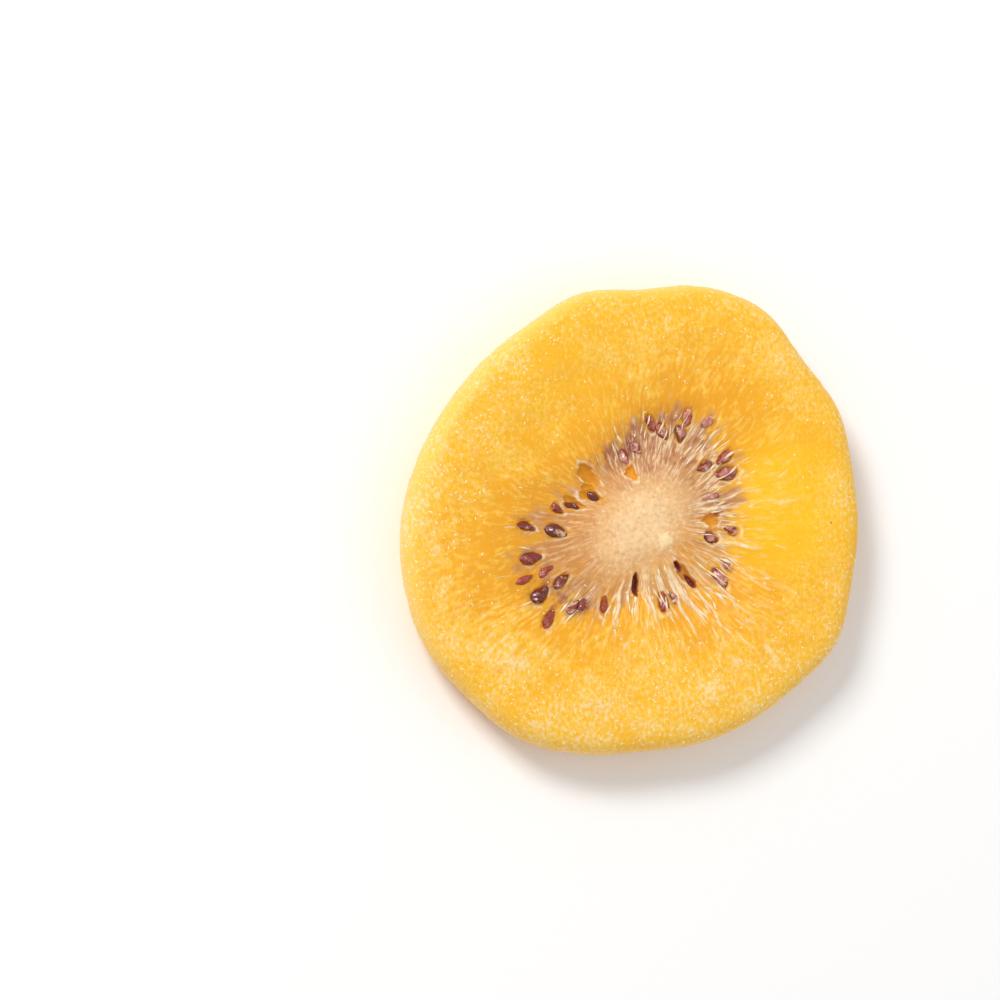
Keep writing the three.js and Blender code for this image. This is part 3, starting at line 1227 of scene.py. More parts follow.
@dataclass(frozen=True)
class FibreFinish(Finish):
    """Pale dried fibre."""

    name: str = "pale_fibre"
    pale: Colour = linear(255, 244, 222)
    warm: Colour = linear(252, 214, 160)
    mottle_scale: float = 900.0

    def build(self, graph: Graph) -> None:
        """Lay out the finish's nodes.

        Args:
            graph: The material's tree.
        """
        mottle = graph.noise(graph.point(), self.mottle_scale)
        colour = graph.mix(mottle.smooth(0.35, 0.65), self.pale, self.warm)
        varying = {"Base Color": colour, "Roughness": 0.38 + mottle * 0.2}
        constant = {
            "Subsurface Weight": 0.25,
            "Subsurface Radius": (1.0, 0.6, 0.3),
            "Subsurface Scale": 0.0006,
        }
        self.shader(graph, varying, constant)


@dataclass(frozen=True)
class SugarFinish(Finish):
    """Pale sugar crystals."""

    name: str = "sugar_crystal"
    clear: Colour = linear(255, 220, 138)
    white: Colour = linear(255, 236, 188)
    mottle_scale: float = 2500.0

    def build(self, graph: Graph) -> None:
        """Lay out the finish's nodes.

        Args:
            graph: The material's tree.
        """
        mottle = graph.noise(graph.point(), self.mottle_scale, 1.0)
        colour = graph.mix(mottle.smooth(0.4, 0.6), self.clear, self.white)
        self.shader(graph, {"Base Color": colour, "Roughness": 0.25 + mottle * 0.2}, {"IOR": 1.5})


@dataclass(frozen=True)
class FloorFinish(Finish):
    """Plain matt white floor."""

    name: str = "pale_floor"
    white: Colour = (0.985, 0.985, 0.985)
    shade: Colour = (0.965, 0.965, 0.97)
    mottle_scale: float = 8.0

    def build(self, graph: Graph) -> None:
        """Lay out the finish's nodes.

        Args:
            graph: The material's tree.
        """
        mottle = graph.noise(graph.point(), self.mottle_scale)
        colour = graph.mix(mottle, self.white, self.shade)
        self.shader(graph, {"Base Color": colour, "Roughness": 0.7}, {"Specular IOR Level": 0.2})


@cache
def shared_material(finish: Finish) -> bpy.types.Material:
    """One material to each finish, however many pieces use it."""
    return finish.material()


# Pieces


def mesh_object(
    name: str, points: Array, faces: Sequence[Sequence[int]], edges: Sequence = ()
) -> bpy.types.Object:
    """Make a mesh object at the origin.

    Args:
        name: The object's name.
        points: Its corners, in metres.
        faces: Its faces, as corner numbers.
        edges: Its loose edges, as corner numbers.

    Returns:
        The object, linked to the scene.
    """
    mesh = bpy.data.meshes.new(name)
    mesh.from_pydata(points.tolist(), list(edges), faces)
    mesh.update()
    made = bpy.data.objects.new(name, mesh)
    bpy.context.scene.collection.objects.link(made)
    return made


def ringed_faces(rows: int, count: int, flip: bool) -> list[list[int]]:
    """Faces of a closed shape of rings, with one corner before them and one after.

    Args:
        rows: How many rings there are.
        count: How many corners a ring has.
        flip: Whether the faces look the other way.

    Returns:
        Each face as corner numbers.
    """
    corner = 1 + np.arange(rows * count).reshape(rows, count)
    beside = np.roll(corner, -1, axis=1)
    last = np.full(count, rows * count + 1)
    quads = np.stack([corner[:-1], corner[1:], beside[1:], beside[:-1]], axis=-1).reshape(-1, 4)
    fans = np.stack([np.zeros(count, int), corner[0], beside[0]], axis=-1)
    ends = np.stack([last, beside[-1], corner[-1]], axis=-1)
    faces = [*quads.tolist(), *fans.tolist(), *ends.tolist()]
    return [[face[0], *face[:0:-1]] for face in faces] if flip else faces


def add_attribute(mesh: bpy.types.Mesh, name: str, values: Array) -> None:
    """Keep one number, or one vector, for each corner of a mesh.

    Args:
        mesh: The mesh.
        name: The attribute's name.
        values: One row to a corner.
    """
    vector = values.ndim == 2
    made = mesh.attributes.new(name, "FLOAT_VECTOR" if vector else "FLOAT", "POINT")
    made.data.foreach_set("vector" if vector else "value", values.astype(np.float32).ravel())


def declare(piece: bpy.types.Object) -> None:
    """Make a piece part of the slice.

    Args:
        piece: The finished piece.
    """
    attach(piece, BODY)
    LOG.info("%s: %d faces", piece.name, len(piece.data.polygons))


@dataclass(frozen=True)
class MarkSizes:
    """What the flesh's marks depend on, in millimetres and degrees.

    Attributes:
        full_wall: Height of a wall that is pale all over.
        long_pit: Empty pits longer than this are stained.
        brown: Where the veil is browner: height, bearing and width of each bell.
        darkened: Where the flesh between the seeds is darker, in the same way.
    """

    full_wall: float = 0.22
    long_pit: float = 2.5
    brown: tuple[Triple, ...] = ((0.6, 82.0, 42.0), (0.3, 10.0, 25.0), (0.12, 190.0, 32.0))
    darkened: tuple[Triple, ...] = (
        (1.0, 228.0, 24.0), (1.0, 92.0, 30.0), (0.6, 12.0, 20.0), (0.7, 122.0, 14.0),
    )  # fmt: skip


class FleshPiece:
    """The flesh as one closed surface of rings and meridians."""

    def __init__(self, form: SliceForm, steps: RingSteps, marks: MarkSizes) -> None:
        """Lay out the surface.

        Args:
            form: The slice's formulas.
            steps: Distance between rings.
            marks: What the marks depend on.
        """
        self.form = form
        self.marks = marks
        self.rings = self._rings(steps)
        self.points, self.facts = self._surface()
        self.placement = Placement.inside(self.points, form.sizes.inset)

    def _rings(self, steps: RingSteps) -> Array:
        """Where the section has a ring: its radius, its height and the way to it.

        Args:
            steps: Distance between rings.

        Returns:
            Radius, height and way of each ring, one row to a ring.
        """
        samples = self.form.section
        gaps = np.hypot(*np.diff(samples, axis=0).T)
        radius, height = samples[1:, 0], samples[1:, 1]
        upper = height > self.form.sizes.rim_level
        zone = (radius > steps.seed_zone[0]) & (radius < steps.seed_zone[1])
        step = np.where(
            upper,
            np.where(zone, steps.seeds_above, steps.plain_above),
            np.where(zone, steps.seeds_below, steps.plain_below),
        )
        count = np.concatenate([[0.0], np.cumsum(gaps / step)])
        travelled = np.concatenate([[0.0], np.cumsum(gaps)])
        wanted = np.arange(1.0, count[-1] - 0.5)
        columns = [samples[:, 0], samples[:, 1], travelled]
        rings = np.stack([np.interp(wanted, count, column) for column in columns], axis=1)
        return rings[rings[:, 0] > steps.plain_above]

    def _surface(self) -> tuple[Array, Facts]:
        """The surface's points about the core, with what the finish needs to know of each.

        Returns:
            The points, and their facts by name.
        """
        form, sizes = self.form, self.form.sizes
        count = sizes.meridians
        share = np.repeat(self.rings[:, 0] / sizes.section_radius, count)
        level = np.repeat(self.rings[:, 1], count)
        travelled = np.repeat(self.rings[:, 2], count)
        bearing = np.tile(360.0 * np.arange(count) / count, len(self.rings))
        nicks = smooth(share, 0.9, 1.0) * form.nicks(bearing, level)
        radius = share * form.outline(bearing) - nicks
        x, y = radius * np.cos(np.radians(bearing)), radius * np.sin(np.radians(bearing))
        upper = level > sizes.rim_level
        relief = form.plain_relief(x, y, share)
        wall, pits = np.zeros_like(x), np.zeros_like(x)
        for face in Face:
            side = upper if face is Face.UPPER else ~upper
            ring = form.seed_share(x[side], y[side])
            wall[side] = form.ridges[face].height_at(bearing[side], radius[side], ring)
            pits[side] = form.pit_relief(x[side], y[side], face)
            relief[side] += form.core_lumps(x[side], y[side], face)
        relief += wall * (1.0 - smooth(-pits, 0.0, 0.1)) + pits
        plain = level + form.warp(bearing, share)
        z = np.where(upper, plain + relief, np.maximum(0.0, plain - relief - sizes.warp_sink))
        points = np.stack([x, y, z], axis=1)
        top, bottom = ([0.0, 0.0, form.middle(face)] for face in Face)
        points = np.concatenate([[top], points, [bottom]])
        facts = self._facts(points, np.concatenate([[True], upper, [False]]))
        facts["wall"] = np.concatenate([[0.0], wall, [0.0]]) / self.marks.full_wall
        facts["path"] = self._paths(points, np.concatenate([[0.0], travelled, [travelled[-1]]]))
        return points, facts

    def _paths(self, points: Array, travelled: Array) -> Array:
        """Coordinates that run with the fibres: two for the bearing, one for metres along.

        Args:
            points: The surface's points, in millimetres about the core.
            travelled: The way to them along the section, in millimetres.

        Returns:
            Three coordinates to each point.
        """
        x, y = points[:, 0], points[:, 1]
        bearing = np.arctan2(y, x)
        waves = 0.008 * np.sin(0.8 * travelled + 5.0 * bearing)
        waves += 0.003 * np.sin(1.9 * travelled - 9.0 * bearing)
        turned = bearing + waves * smooth(np.hypot(x, y), 2.0, 8.0)
        return np.stack([np.cos(turned), np.sin(turned), travelled * MM], axis=1)

    def _facts(self, points: Array, upper: Array) -> Facts:
        """Masks for the finish.

        Args:
            points: The surface's points, in millimetres about the core.
            upper: Which of them are on the upper face.

        Returns:
            One number to each point, by the mask's name.
        """
        form, (x, y, z) = self.form, points.T
        bearing = np.degrees(np.arctan2(y, x)) % 360.0
        ring = form.seed_share(x, y)
        share = np.hypot(x, y) / form.outline(bearing)
        facts = self._seed_marks(x, y, upper)
        facts["veil"] = self._veil(x, y, bearing, ring)
        facts["core"] = form.core_swell(x + 0.2, y + 0.2, 1.27)
        facts["lump"] = upper * form.bright_lump(x, y)
        facts["fuzz"] = 0.9 * bell(ring, 0.48, 0.12)
        facts["stain"] += self._darker_clusters(bearing, ring, upper)
        facts["ring"] = np.minimum(ring, 3.0)
        facts["stretch"] = closed_curve(FIBRES.stretch, bearing)
        facts["strength"] = closed_curve(FIBRES.strength, bearing)
        facts["start"] = smooth(ring - closed_curve(FIBRES.start, bearing), 0.0, 0.25)
        # Towards the upper left, where the light falls.
        left = smooth(0.9 * y - x, 0.0, 20.0)
        # Pale rim: real frost all round, and more towards the lit upper left, which is painted
        # light.
        facts["rim"] = smooth(share, 0.93, 1.0) * (0.2 + 0.8 * left)
        # Painted shade on the rim's lower side, weakest on the lit upper left.
        below = 1.0 - smooth(z, 2.6, 6.8)
        facts["low"] = below * (1.0 - 0.7 * left) * smooth(share, 0.8, 0.95)
        facts["deep"] = upper * bell(x, 15.0, 7.0) * bell(y, 2.0, 9.0)
        frost = self._frost(x, y, share) - 0.5 * facts["deep"]
        facts["frost"] = np.clip(frost, 0.0, 1.0) * smooth(ring, 0.95, 1.6)
        near_seeds = 0.12 * bell(ring, 0.9, 0.15)
        facts["crystals"] = (facts["frost"] + near_seeds) * smooth(z, 0.25, 0.5)
        return facts

    def _veil(self, x: Array, y: Array, bearing: Array, ring: Array) -> Array:
        """Where the beige skin lies: between core and seeds, thickest above the core.

        Args:
            x: The places' x.
            y: The places' y.
            bearing: The places' bearings, in degrees.
            ring: Their distance from the core as a share of the seeds' reach.

        Returns:
            How thick the skin is, about 0 to 1.
        """
        brown = 0.5 + side_bells(bearing, self.marks.brown)
        ragged = 0.07 * np.sin(0.31 * bearing) + 0.05 * np.sin(0.83 * bearing + 1.0)
        ragged += 0.05 * np.sin(1.9 * x + 1.3 * y)
        outer = 1.0 - smooth(ring + ragged, 0.75, 1.15)
        return smooth(ring, 0.17, 0.38) * outer * np.minimum(brown, 1.1)

    def _darker_clusters(self, bearing: Array, ring: Array, upper: Array) -> Array:
        """Darker flesh between the seeds where they stand close, and a faint darkening at the left.

        Args:
            bearing: The places' bearings, in degrees.
            ring: Their distance from the core as a share of the seeds' reach.
            upper: Which of them are on the upper face.

        Returns:
            How much darker the flesh is.
        """
        clusters = side_bells(bearing, self.marks.darkened)
        strong = 0.7 * upper * bell(ring, 0.9, 0.16) * clusters
        return strong + 0.2 * bell(ring, 0.68, 0.2) * bell(bearing, 192.0, 38.0)

    def _frost(self, x: Array, y: Array, share: Array) -> Array:
        """How densely the sugar grain stands: most at the bottom, the left and the rim.

        Args:
            x: The places' x.
            y: The places' y.
            share: Their distance as a share of the outline's radius.

        Returns:
            The density, about 0 to 1.
        """
        lower, left = smooth(-y, 2.0, 18.0), smooth(-x, 8.0, 22.0)
        rim = smooth(share, 0.55, 0.98)
        return 0.35 + 0.45 * lower + (0.35 - 0.8 * lower) * left + 0.3 * rim

    def _seed_marks(self, x: Array, y: Array, upper: Array) -> Facts:
        """Marks of every seed's surroundings.

        Args:
            x: The places' x.
            y: The places' y.
            upper: Which of them are on the upper face.

        Returns:
            The marks at each place, by name.
        """
        facts = {name: np.zeros_like(x) for name in ("stain", "pit", "slit", "lip", "bed")}
        for face in Face:
            side = upper if face is Face.UPPER else ~upper
            for seed in self.form.seeds[face]:
                away = seed.across(x, y, self.form.pits.margin)
                near = side & (away < 3.0)
                left = (y[near] - x[near] - seed.y + seed.x) / seed.length
                self._mark_seed(facts, seed, near, away[near], left)
        return facts

    def _mark_seed(self, facts: Facts, seed: Seed, near: Array, away: Array, left: Array) -> None:
        """Mark the flesh round one seed.

        Args:
            facts: The marks, which are added to.
            seed: The seed.
            near: Which points are near it.
            away: How far these are from its middle, as a share of its half size.
            left: How far these are to its upper left, as a share of its length.
        """

        def mark(name: str, values: Array) -> None:
            """Keep the strongest mark at each place."""
            facts[name][near] = np.maximum(facts[name][near], values)

        if seed.state is VEILED:
            mark("stain", 0.5 * (1.0 - smooth(away, 0.7, 1.3)))
        if seed.state in (VEILED, TRACE):
            return
        inside = 1.0 - smooth(away, 0.8, 1.08)
        empty = seed.state is EMPTY
        mark("slit" if seed.state is SLIT else "pit", inside)
        lip = bell(away, self.form.pits.lip_place, 0.16)
        mark("lip", lip if empty else lip * smooth(-left, -0.1, 0.5))
        mark("bed", bell(away, 1.0, 0.6))
        if empty and seed.length > self.marks.long_pit:
            mark("stain", 0.4 * inside)
        # Painted shadow: each pit's upper left side, where its wall would be shaded by the light
        # from the upper left, is darkened.
        shaded = 0.12 if seed.state is BARE else 0.3
        mark("stain", shaded * bell(away, 1.15, 0.35) * smooth(left, -0.2, 0.6))

    def build(self) -> bpy.types.Object:
        """Make the piece that replaces the CAD solid.

        Returns:
            The piece.
        """
        faces = ringed_faces(len(self.rings), self.form.sizes.meridians, flip=False)
        piece = mesh_object("flesh", self.placement.place(self.points), faces)
        for name, values in self.facts.items():
            add_attribute(piece.data, name, values)
        piece.data.materials.append(FleshFinish().material())
        declare(piece)
        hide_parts(NODE)
        return piece


# Repeats


class Repeat:
    """A Geometry Nodes tree on one object, applied to give a plain mesh."""

    def __init__(
        self, name: str, carrier: bpy.types.Object, inputs: Mapping[str, tuple[str, Any]]
    ) -> None:
        """Start a tree with named inputs.

        Args:
            name: The new piece's name.
            carrier: The object that the tree works on.
            inputs: Each input's socket type and value, by name.
        """
        self.name = name
        self.carrier = carrier
        self.tree = bpy.data.node_groups.new(name, "GeometryNodeTree")
        interface = self.tree.interface
        interface.new_socket("Geometry", in_out="INPUT", socket_type="NodeSocketGeometry")
        interface.new_socket("Geometry", in_out="OUTPUT", socket_type="NodeSocketGeometry")
        self.values = {}
        for label, (kind, value) in inputs.items():
            socket = interface.new_socket(label, in_out="INPUT", socket_type=kind)
            self.values[socket.identifier] = value
        self.graph = Graph(self.tree)
        self.source = self.tree.nodes.new("NodeGroupInput")

    def given(self, label: str) -> Wire:
        """One of the tree's inputs."""
        return Wire(self.graph, self.source.outputs[label])

    def geometry(self) -> Wire:
        """The geometry of the object that the tree works on."""
        return Wire(self.graph, self.source.outputs[0])

    def named(self, label: str, kind: str = "FLOAT") -> Wire:
        """An attribute of the points."""
        return self.graph.node("GeometryNodeInputNamedAttribute", {"data_type": kind}, label)

    def end(self, geometry: Wire) -> None:
        """Realize what the tree made, and give it its material.

        Args:
            geometry: What the tree made.
        """
        real = self.graph.node("GeometryNodeRealizeInstances", None, geometry)
        named = {"Geometry": real, "Material": self.given("Material")}
        finished = self.graph.node("GeometryNodeSetMaterial", None, named=named)
        sink = self.tree.nodes.new("NodeGroupOutput")
        self.tree.links.new(finished.socket, sink.inputs[0])

    def apply(self) -> bpy.types.Object:
        """Evaluate the tree once and keep the result as a plain mesh.

        Returns:
            The new object, at the origin.
        """
        modifier = self.carrier.modifiers.new(self.name, "NODES")
        modifier.node_group = self.tree
        for identifier, value in self.values.items():
            modifier[identifier] = value
        self.carrier.update_tag()
        graph = bpy.context.evaluated_depsgraph_get()
        mesh = bpy.data.meshes.new_from_object(self.carrier.evaluated_get(graph), depsgraph=graph)
        mesh.name = self.name
        self.carrier.modifiers.remove(modifier)
        made = bpy.data.objects.new(self.name, mesh)
        bpy.context.scene.collection.objects.link(made)
        return made


def discard(*things: bpy.types.Object) -> None:
    """Remove helper objects."""
    for thing in things:
        bpy.data.objects.remove(thing, do_unlink=True)


@dataclass(frozen=True)
class SeedShape:
    """The shape of one seed, with half sizes of 1."""

    sides: int = 18
    rows: int = 12
    taper: float = 0.42
    flatness: float = 0.8

    def template(self) -> bpy.types.Object:
        """Make an egg on its side, blunt at one end and pointed along +X at the other.

        Returns:
            The seed's object, which is instanced.
        """
        along = np.cos(np.linspace(math.pi, 0.0, self.rows + 1))[1:-1]
        girth = np.sqrt(1.0 - along**2) * (1.0 - self.taper * smooth(along, -0.3, 1.0))
        turn = math.tau * np.arange(self.sides) / self.sides
        grid = np.stack(
            [
                np.repeat(along, self.sides),
                np.outer(girth, np.cos(turn)).ravel(),
                np.outer(girth, np.sin(turn)).ravel() * self.flatness,
            ],
            axis=1,
        )
        points = np.concatenate([[[-1.0, 0.0, 0.0]], grid, [[1.0, 0.0, 0.0]]])
        faces = ringed_faces(len(along), self.sides, flip=True)
        made = mesh_object("seed_shape", points, faces)
        add_attribute(made.data, "crown", points[:, 2] / self.flatness)
        return made


@dataclass(frozen=True)
class SeedSizes:
    """How the seeds stand in the face, in millimetres and degrees.

    Attributes:
        tilt: How far they lean out of the face, either way.
        dent: How deep their dents are.
        dents_per_metre: How close the dents stand.
        swell: How much larger they are made than their place.
        random_seed: Seed of the draw of their tilts.
    """

    tilt: float = 9.0
    dent: float = 0.7
    dents_per_metre: float = 1100.0
    swell: float = 1.14
    random_seed: int = 5

    @property
    def sink(self) -> dict[SeedState, float]:
        """How far the middle of each kind lies under the face."""
        return {BARE: 0.06, VEILED: 0.1, SLIT: 0.7, TRACE: 0.12}

    @property
    def film(self) -> dict[SeedState, float]:
        """How much pale film lies on each kind."""
        return {BARE: 0.08, VEILED: 0.15, SLIT: -0.3, TRACE: 0.0}


class SeedsPiece:
    """The seeds of one face, instanced on points that carry their sizes and turns."""

    def __init__(self, form: SliceForm, placement: Placement, face: Face, sizes: SeedSizes) -> None:
        """Keep what places the seeds.

        Args:
            form: The slice's formulas.
            placement: Where the slice is.
            face: Whose seeds these are.
            sizes: How they stand.
        """
        self.form = form
        self.placement = placement
        self.face = face
        self.sizes = sizes
        self.seeds = [seed for seed in form.seeds[face] if seed.state in sizes.sink]

    def _carrier(self) -> bpy.types.Object:
        """Make the points, with each seed's size, turn and tone.

        Returns:
            The object that carries the points.
        """
        how = self.sizes
        x, y = np.array([[seed.x, seed.y] for seed in self.seeds]).T
        sink = np.array([how.sink[seed.state] for seed in self.seeds])
        z = self.form.height(x, y, self.face) - self.face.value * sink
        carrier = mesh_object("seed_places", self.placement.place(np.stack([x, y, z], axis=1)), [])
        draw = np.random.default_rng(how.random_seed + self.face.value)
        tilts = np.radians(draw.uniform(-how.tilt, how.tilt, (len(self.seeds), 2)))
        turns = np.radians([seed.bearing for seed in self.seeds])
        sizes = np.array([[seed.length, seed.width, seed.width] for seed in self.seeds])
        add_attribute(carrier.data, "turn", np.column_stack([tilts, turns]))
        add_attribute(carrier.data, "size", how.swell * sizes / 2 * MM)
        add_attribute(carrier.data, "tone", np.array([seed.tone for seed in self.seeds]))
        film = np.array([how.film[seed.state] for seed in self.seeds])
        add_attribute(carrier.data, "film", film)
        # Pale bloom, stronger on the seeds to the right; the seed finish paints it only on their
        # tops, as a sheen.
        add_attribute(carrier.data, "bloom", 0.36 * smooth(x + 0.4 * y, -6.0, 7.0) - 0.07)
        return carrier

    def build(self) -> bpy.types.Object:
        """Make the piece.

        Returns:
            The piece.
        """
        carrier, shape = self._carrier(), SeedShape().template()
        inputs = {
            "Shape": ("NodeSocketObject", shape),
            "Material": ("NodeSocketMaterial", shared_material(SeedFinish())),
            "Dent scale": ("NodeSocketFloat", self.sizes.dents_per_metre),
            "Dent depth": ("NodeSocketFloat", self.sizes.dent * MM),
        }
        repeat = Repeat(f"seeds_{self.face.name.lower()}", carrier, inputs)
        graph = repeat.graph
        info = graph.node("GeometryNodeObjectInfo", None, repeat.given("Shape"), output="Geometry")
        named = {
            "Points": repeat.geometry(),
            "Instance": info,
            "Rotation": repeat.named("turn", "FLOAT_VECTOR"),
            "Scale": repeat.named("size", "FLOAT_VECTOR"),
        }
        seeds = graph.node("GeometryNodeInstanceOnPoints", None, named=named)
        seeds = graph.node("GeometryNodeRealizeInstances", None, seeds)
        named = {"Scale": repeat.given("Dent scale"), "Detail": 1.0}
        dents = graph.node("ShaderNodeTexNoise", None, named=named, output="Color")
        dents = graph.vector("SUBTRACT", dents, (0.5, 0.5, 0.5))
        named = {0: dents, "Scale": repeat.given("Dent depth")}
        offset = graph.node("ShaderNodeVectorMath", {"operation": "SCALE"}, named=named)
        named = {"Geometry": seeds, "Offset": offset}
        repeat.end(graph.node("GeometryNodeSetPosition", None, named=named))
        piece = repeat.apply()
        discard(carrier, shape)
        declare(piece)
        return piece


@dataclass(frozen=True)
class StrandSizes:
    """Loose fibres that lie on the face, in millimetres."""

    count: int = 104
    radius: tuple[float, float] = (0.06, 0.185)
    delay: tuple[float, float] = (0.0, 0.34)
    length: tuple[float, float] = (0.14, 0.36)
    wander: float = 3.0
    steps: int = 18
    sides: int = 5
    sunk: float = 0.35
    bridges: float = 0.6  # share of the fibres that pass over seeds
    bridge_rise: float = 0.4  # as a share of the seed's width
    clearance: float = 0.08
    random_seed: int = 77


class StrandsPiece:
    """Loose fibres of one face, as tapered tubes along paths on its surface."""

    def __init__(
        self, form: SliceForm, placement: Placement, face: Face, sizes: StrandSizes
    ) -> None:
        """Keep what places the fibres.

        Args:
            form: The slice's formulas.
            placement: Where the slice is.
            face: Which face they lie on.
            sizes: Their sizes.
        """
        self.form = form
        self.placement = placement
        self.face = face
        self.sizes = sizes

    def _paths(self) -> tuple[Array, Array]:
        """Points and thickness of every fibre: one row to a fibre.

        Returns:
            The points in millimetres about the core, and the thickness.
        """
        sizes, draw = self.sizes, np.random.default_rng(self.sizes.random_seed + self.face.value)
        place = np.arange(sizes.count) + draw.uniform(-0.5, 0.5, sizes.count)
        bearing = 360.0 * place / sizes.count
        bearing = bearing[draw.random(sizes.count) < closed_curve(FIBRES.strength, bearing)]
        count = len(bearing)
        stretch = closed_curve(FIBRES.stretch, bearing)
        start = closed_curve(FIBRES.start, bearing) + draw.uniform(*sizes.delay, count) * stretch
        end = start + draw.uniform(*sizes.length, count) * stretch
        step = np.linspace(0.0, 1.0, sizes.steps)
        share = start[:, None] + (end - start)[:, None] * step
        phase = draw.uniform(0.0, math.tau, (count, 2))
        wave = np.sin(7.0 * share + phase[:, :1]) * 1.5 + np.sin(19.0 * share + phase[:, 1:]) * 0.6
        lean = draw.uniform(-sizes.wander, sizes.wander, count)
        turned = bearing[:, None] + wave + lean[:, None] * (share - start[:, None])
        radius = share * closed_curve(self.form.sizes.reach, turned)
        x, y = radius * np.cos(np.radians(turned)), radius * np.sin(np.radians(turned))
        taper = np.sin(math.pi * (0.06 + 0.9 * step)) ** 0.6
        thick = draw.uniform(*sizes.radius, count)[:, None] * taper
        z = self.form.height(x, y, self.face, True) - self.face.value * thick * sizes.sunk
        thick = thick * (0.7 + 0.3 * np.sin(43.0 * share + 2.0 * phase[:, :1]))
        bridges = draw.random(count)[:, None] < sizes.bridges
        z, thick = self._meet_seeds(x, y, z, thick, bridges)
        return np.stack([x, y, np.maximum(z, thick)], axis=-1), thick

    def _meet_seeds(
        self, x: Array, y: Array, z: Array, thick: Array, bridges: Array
    ) -> tuple[Array, Array]:
        """End the fibres at open pits, and carry some of them over seeds.

        Args:
            x: The fibres' x.
            y: The fibres' y.
            z: Their height on the flesh.
            thick: Their thickness.
            bridges: Which fibres pass over seeds.

        Returns:
            The new heights and thicknesses.
        """
        sign = self.face.value
        over = self.form.height(x, y, self.face) * sign
        for seed in self.form.seeds[self.face]:
            away = seed.across(x, y, self.sizes.clearance)
            if seed.state in (SLIT, EMPTY):
                thick = thick * smooth(away, 0.9, 1.2)
            elif seed.state is not TRACE:
                arch = np.sqrt(np.clip(1.0 - away**2, 0.0, 1.0))
                crown = over + self.sizes.bridge_rise * seed.width * arch
                z = np.where(bridges & (away < 1.0), np.maximum(z * sign, crown) * sign, z)
        return z, thick

    def build(self) -> bpy.types.Object:
        """Make the piece.

        Returns:
            The piece.
        """
        points, thick = self._paths()
        count, steps = thick.shape
        start = np.arange(count)[:, None] * steps + np.arange(steps - 1)[None, :]
        edges = np.stack([start.ravel(), start.ravel() + 1], axis=1).tolist()
        carrier = mesh_object("fibre_paths", self.placement.place(points.reshape(-1, 3)), [], edges)
        add_attribute(carrier.data, "thickness", thick.ravel() * MM)
        inputs = {
            "Material": ("NodeSocketMaterial", shared_material(FibreFinish())),
            "Sides": ("NodeSocketInt", self.sizes.sides),
        }
        repeat = Repeat(f"fibres_{self.face.name.lower()}", carrier, inputs)
        graph = repeat.graph
        curve = graph.node("GeometryNodeMeshToCurve", None, repeat.geometry())
        named = {"Resolution": repeat.given("Sides"), "Radius": 1.0}
        profile = graph.node("GeometryNodeCurvePrimitiveCircle", None, named=named)
        thickness = repeat.named("thickness")
        named = {"Curve": curve, "Profile Curve": profile, "Scale": thickness, "Fill Caps": True}
        repeat.end(graph.node("GeometryNodeCurveToMesh", None, named=named))
        piece = repeat.apply()
        discard(carrier)
        declare(piece)
        return piece


@dataclass(frozen=True)
class SugarSizes:
    """Sugar crystals on the flesh, in millimetres."""

    per_area: float = 1.3
    size: tuple[float, float] = (0.07, 0.2)
    tilt: float = 0.25  # in radians, either way
    random_seed: int = 9


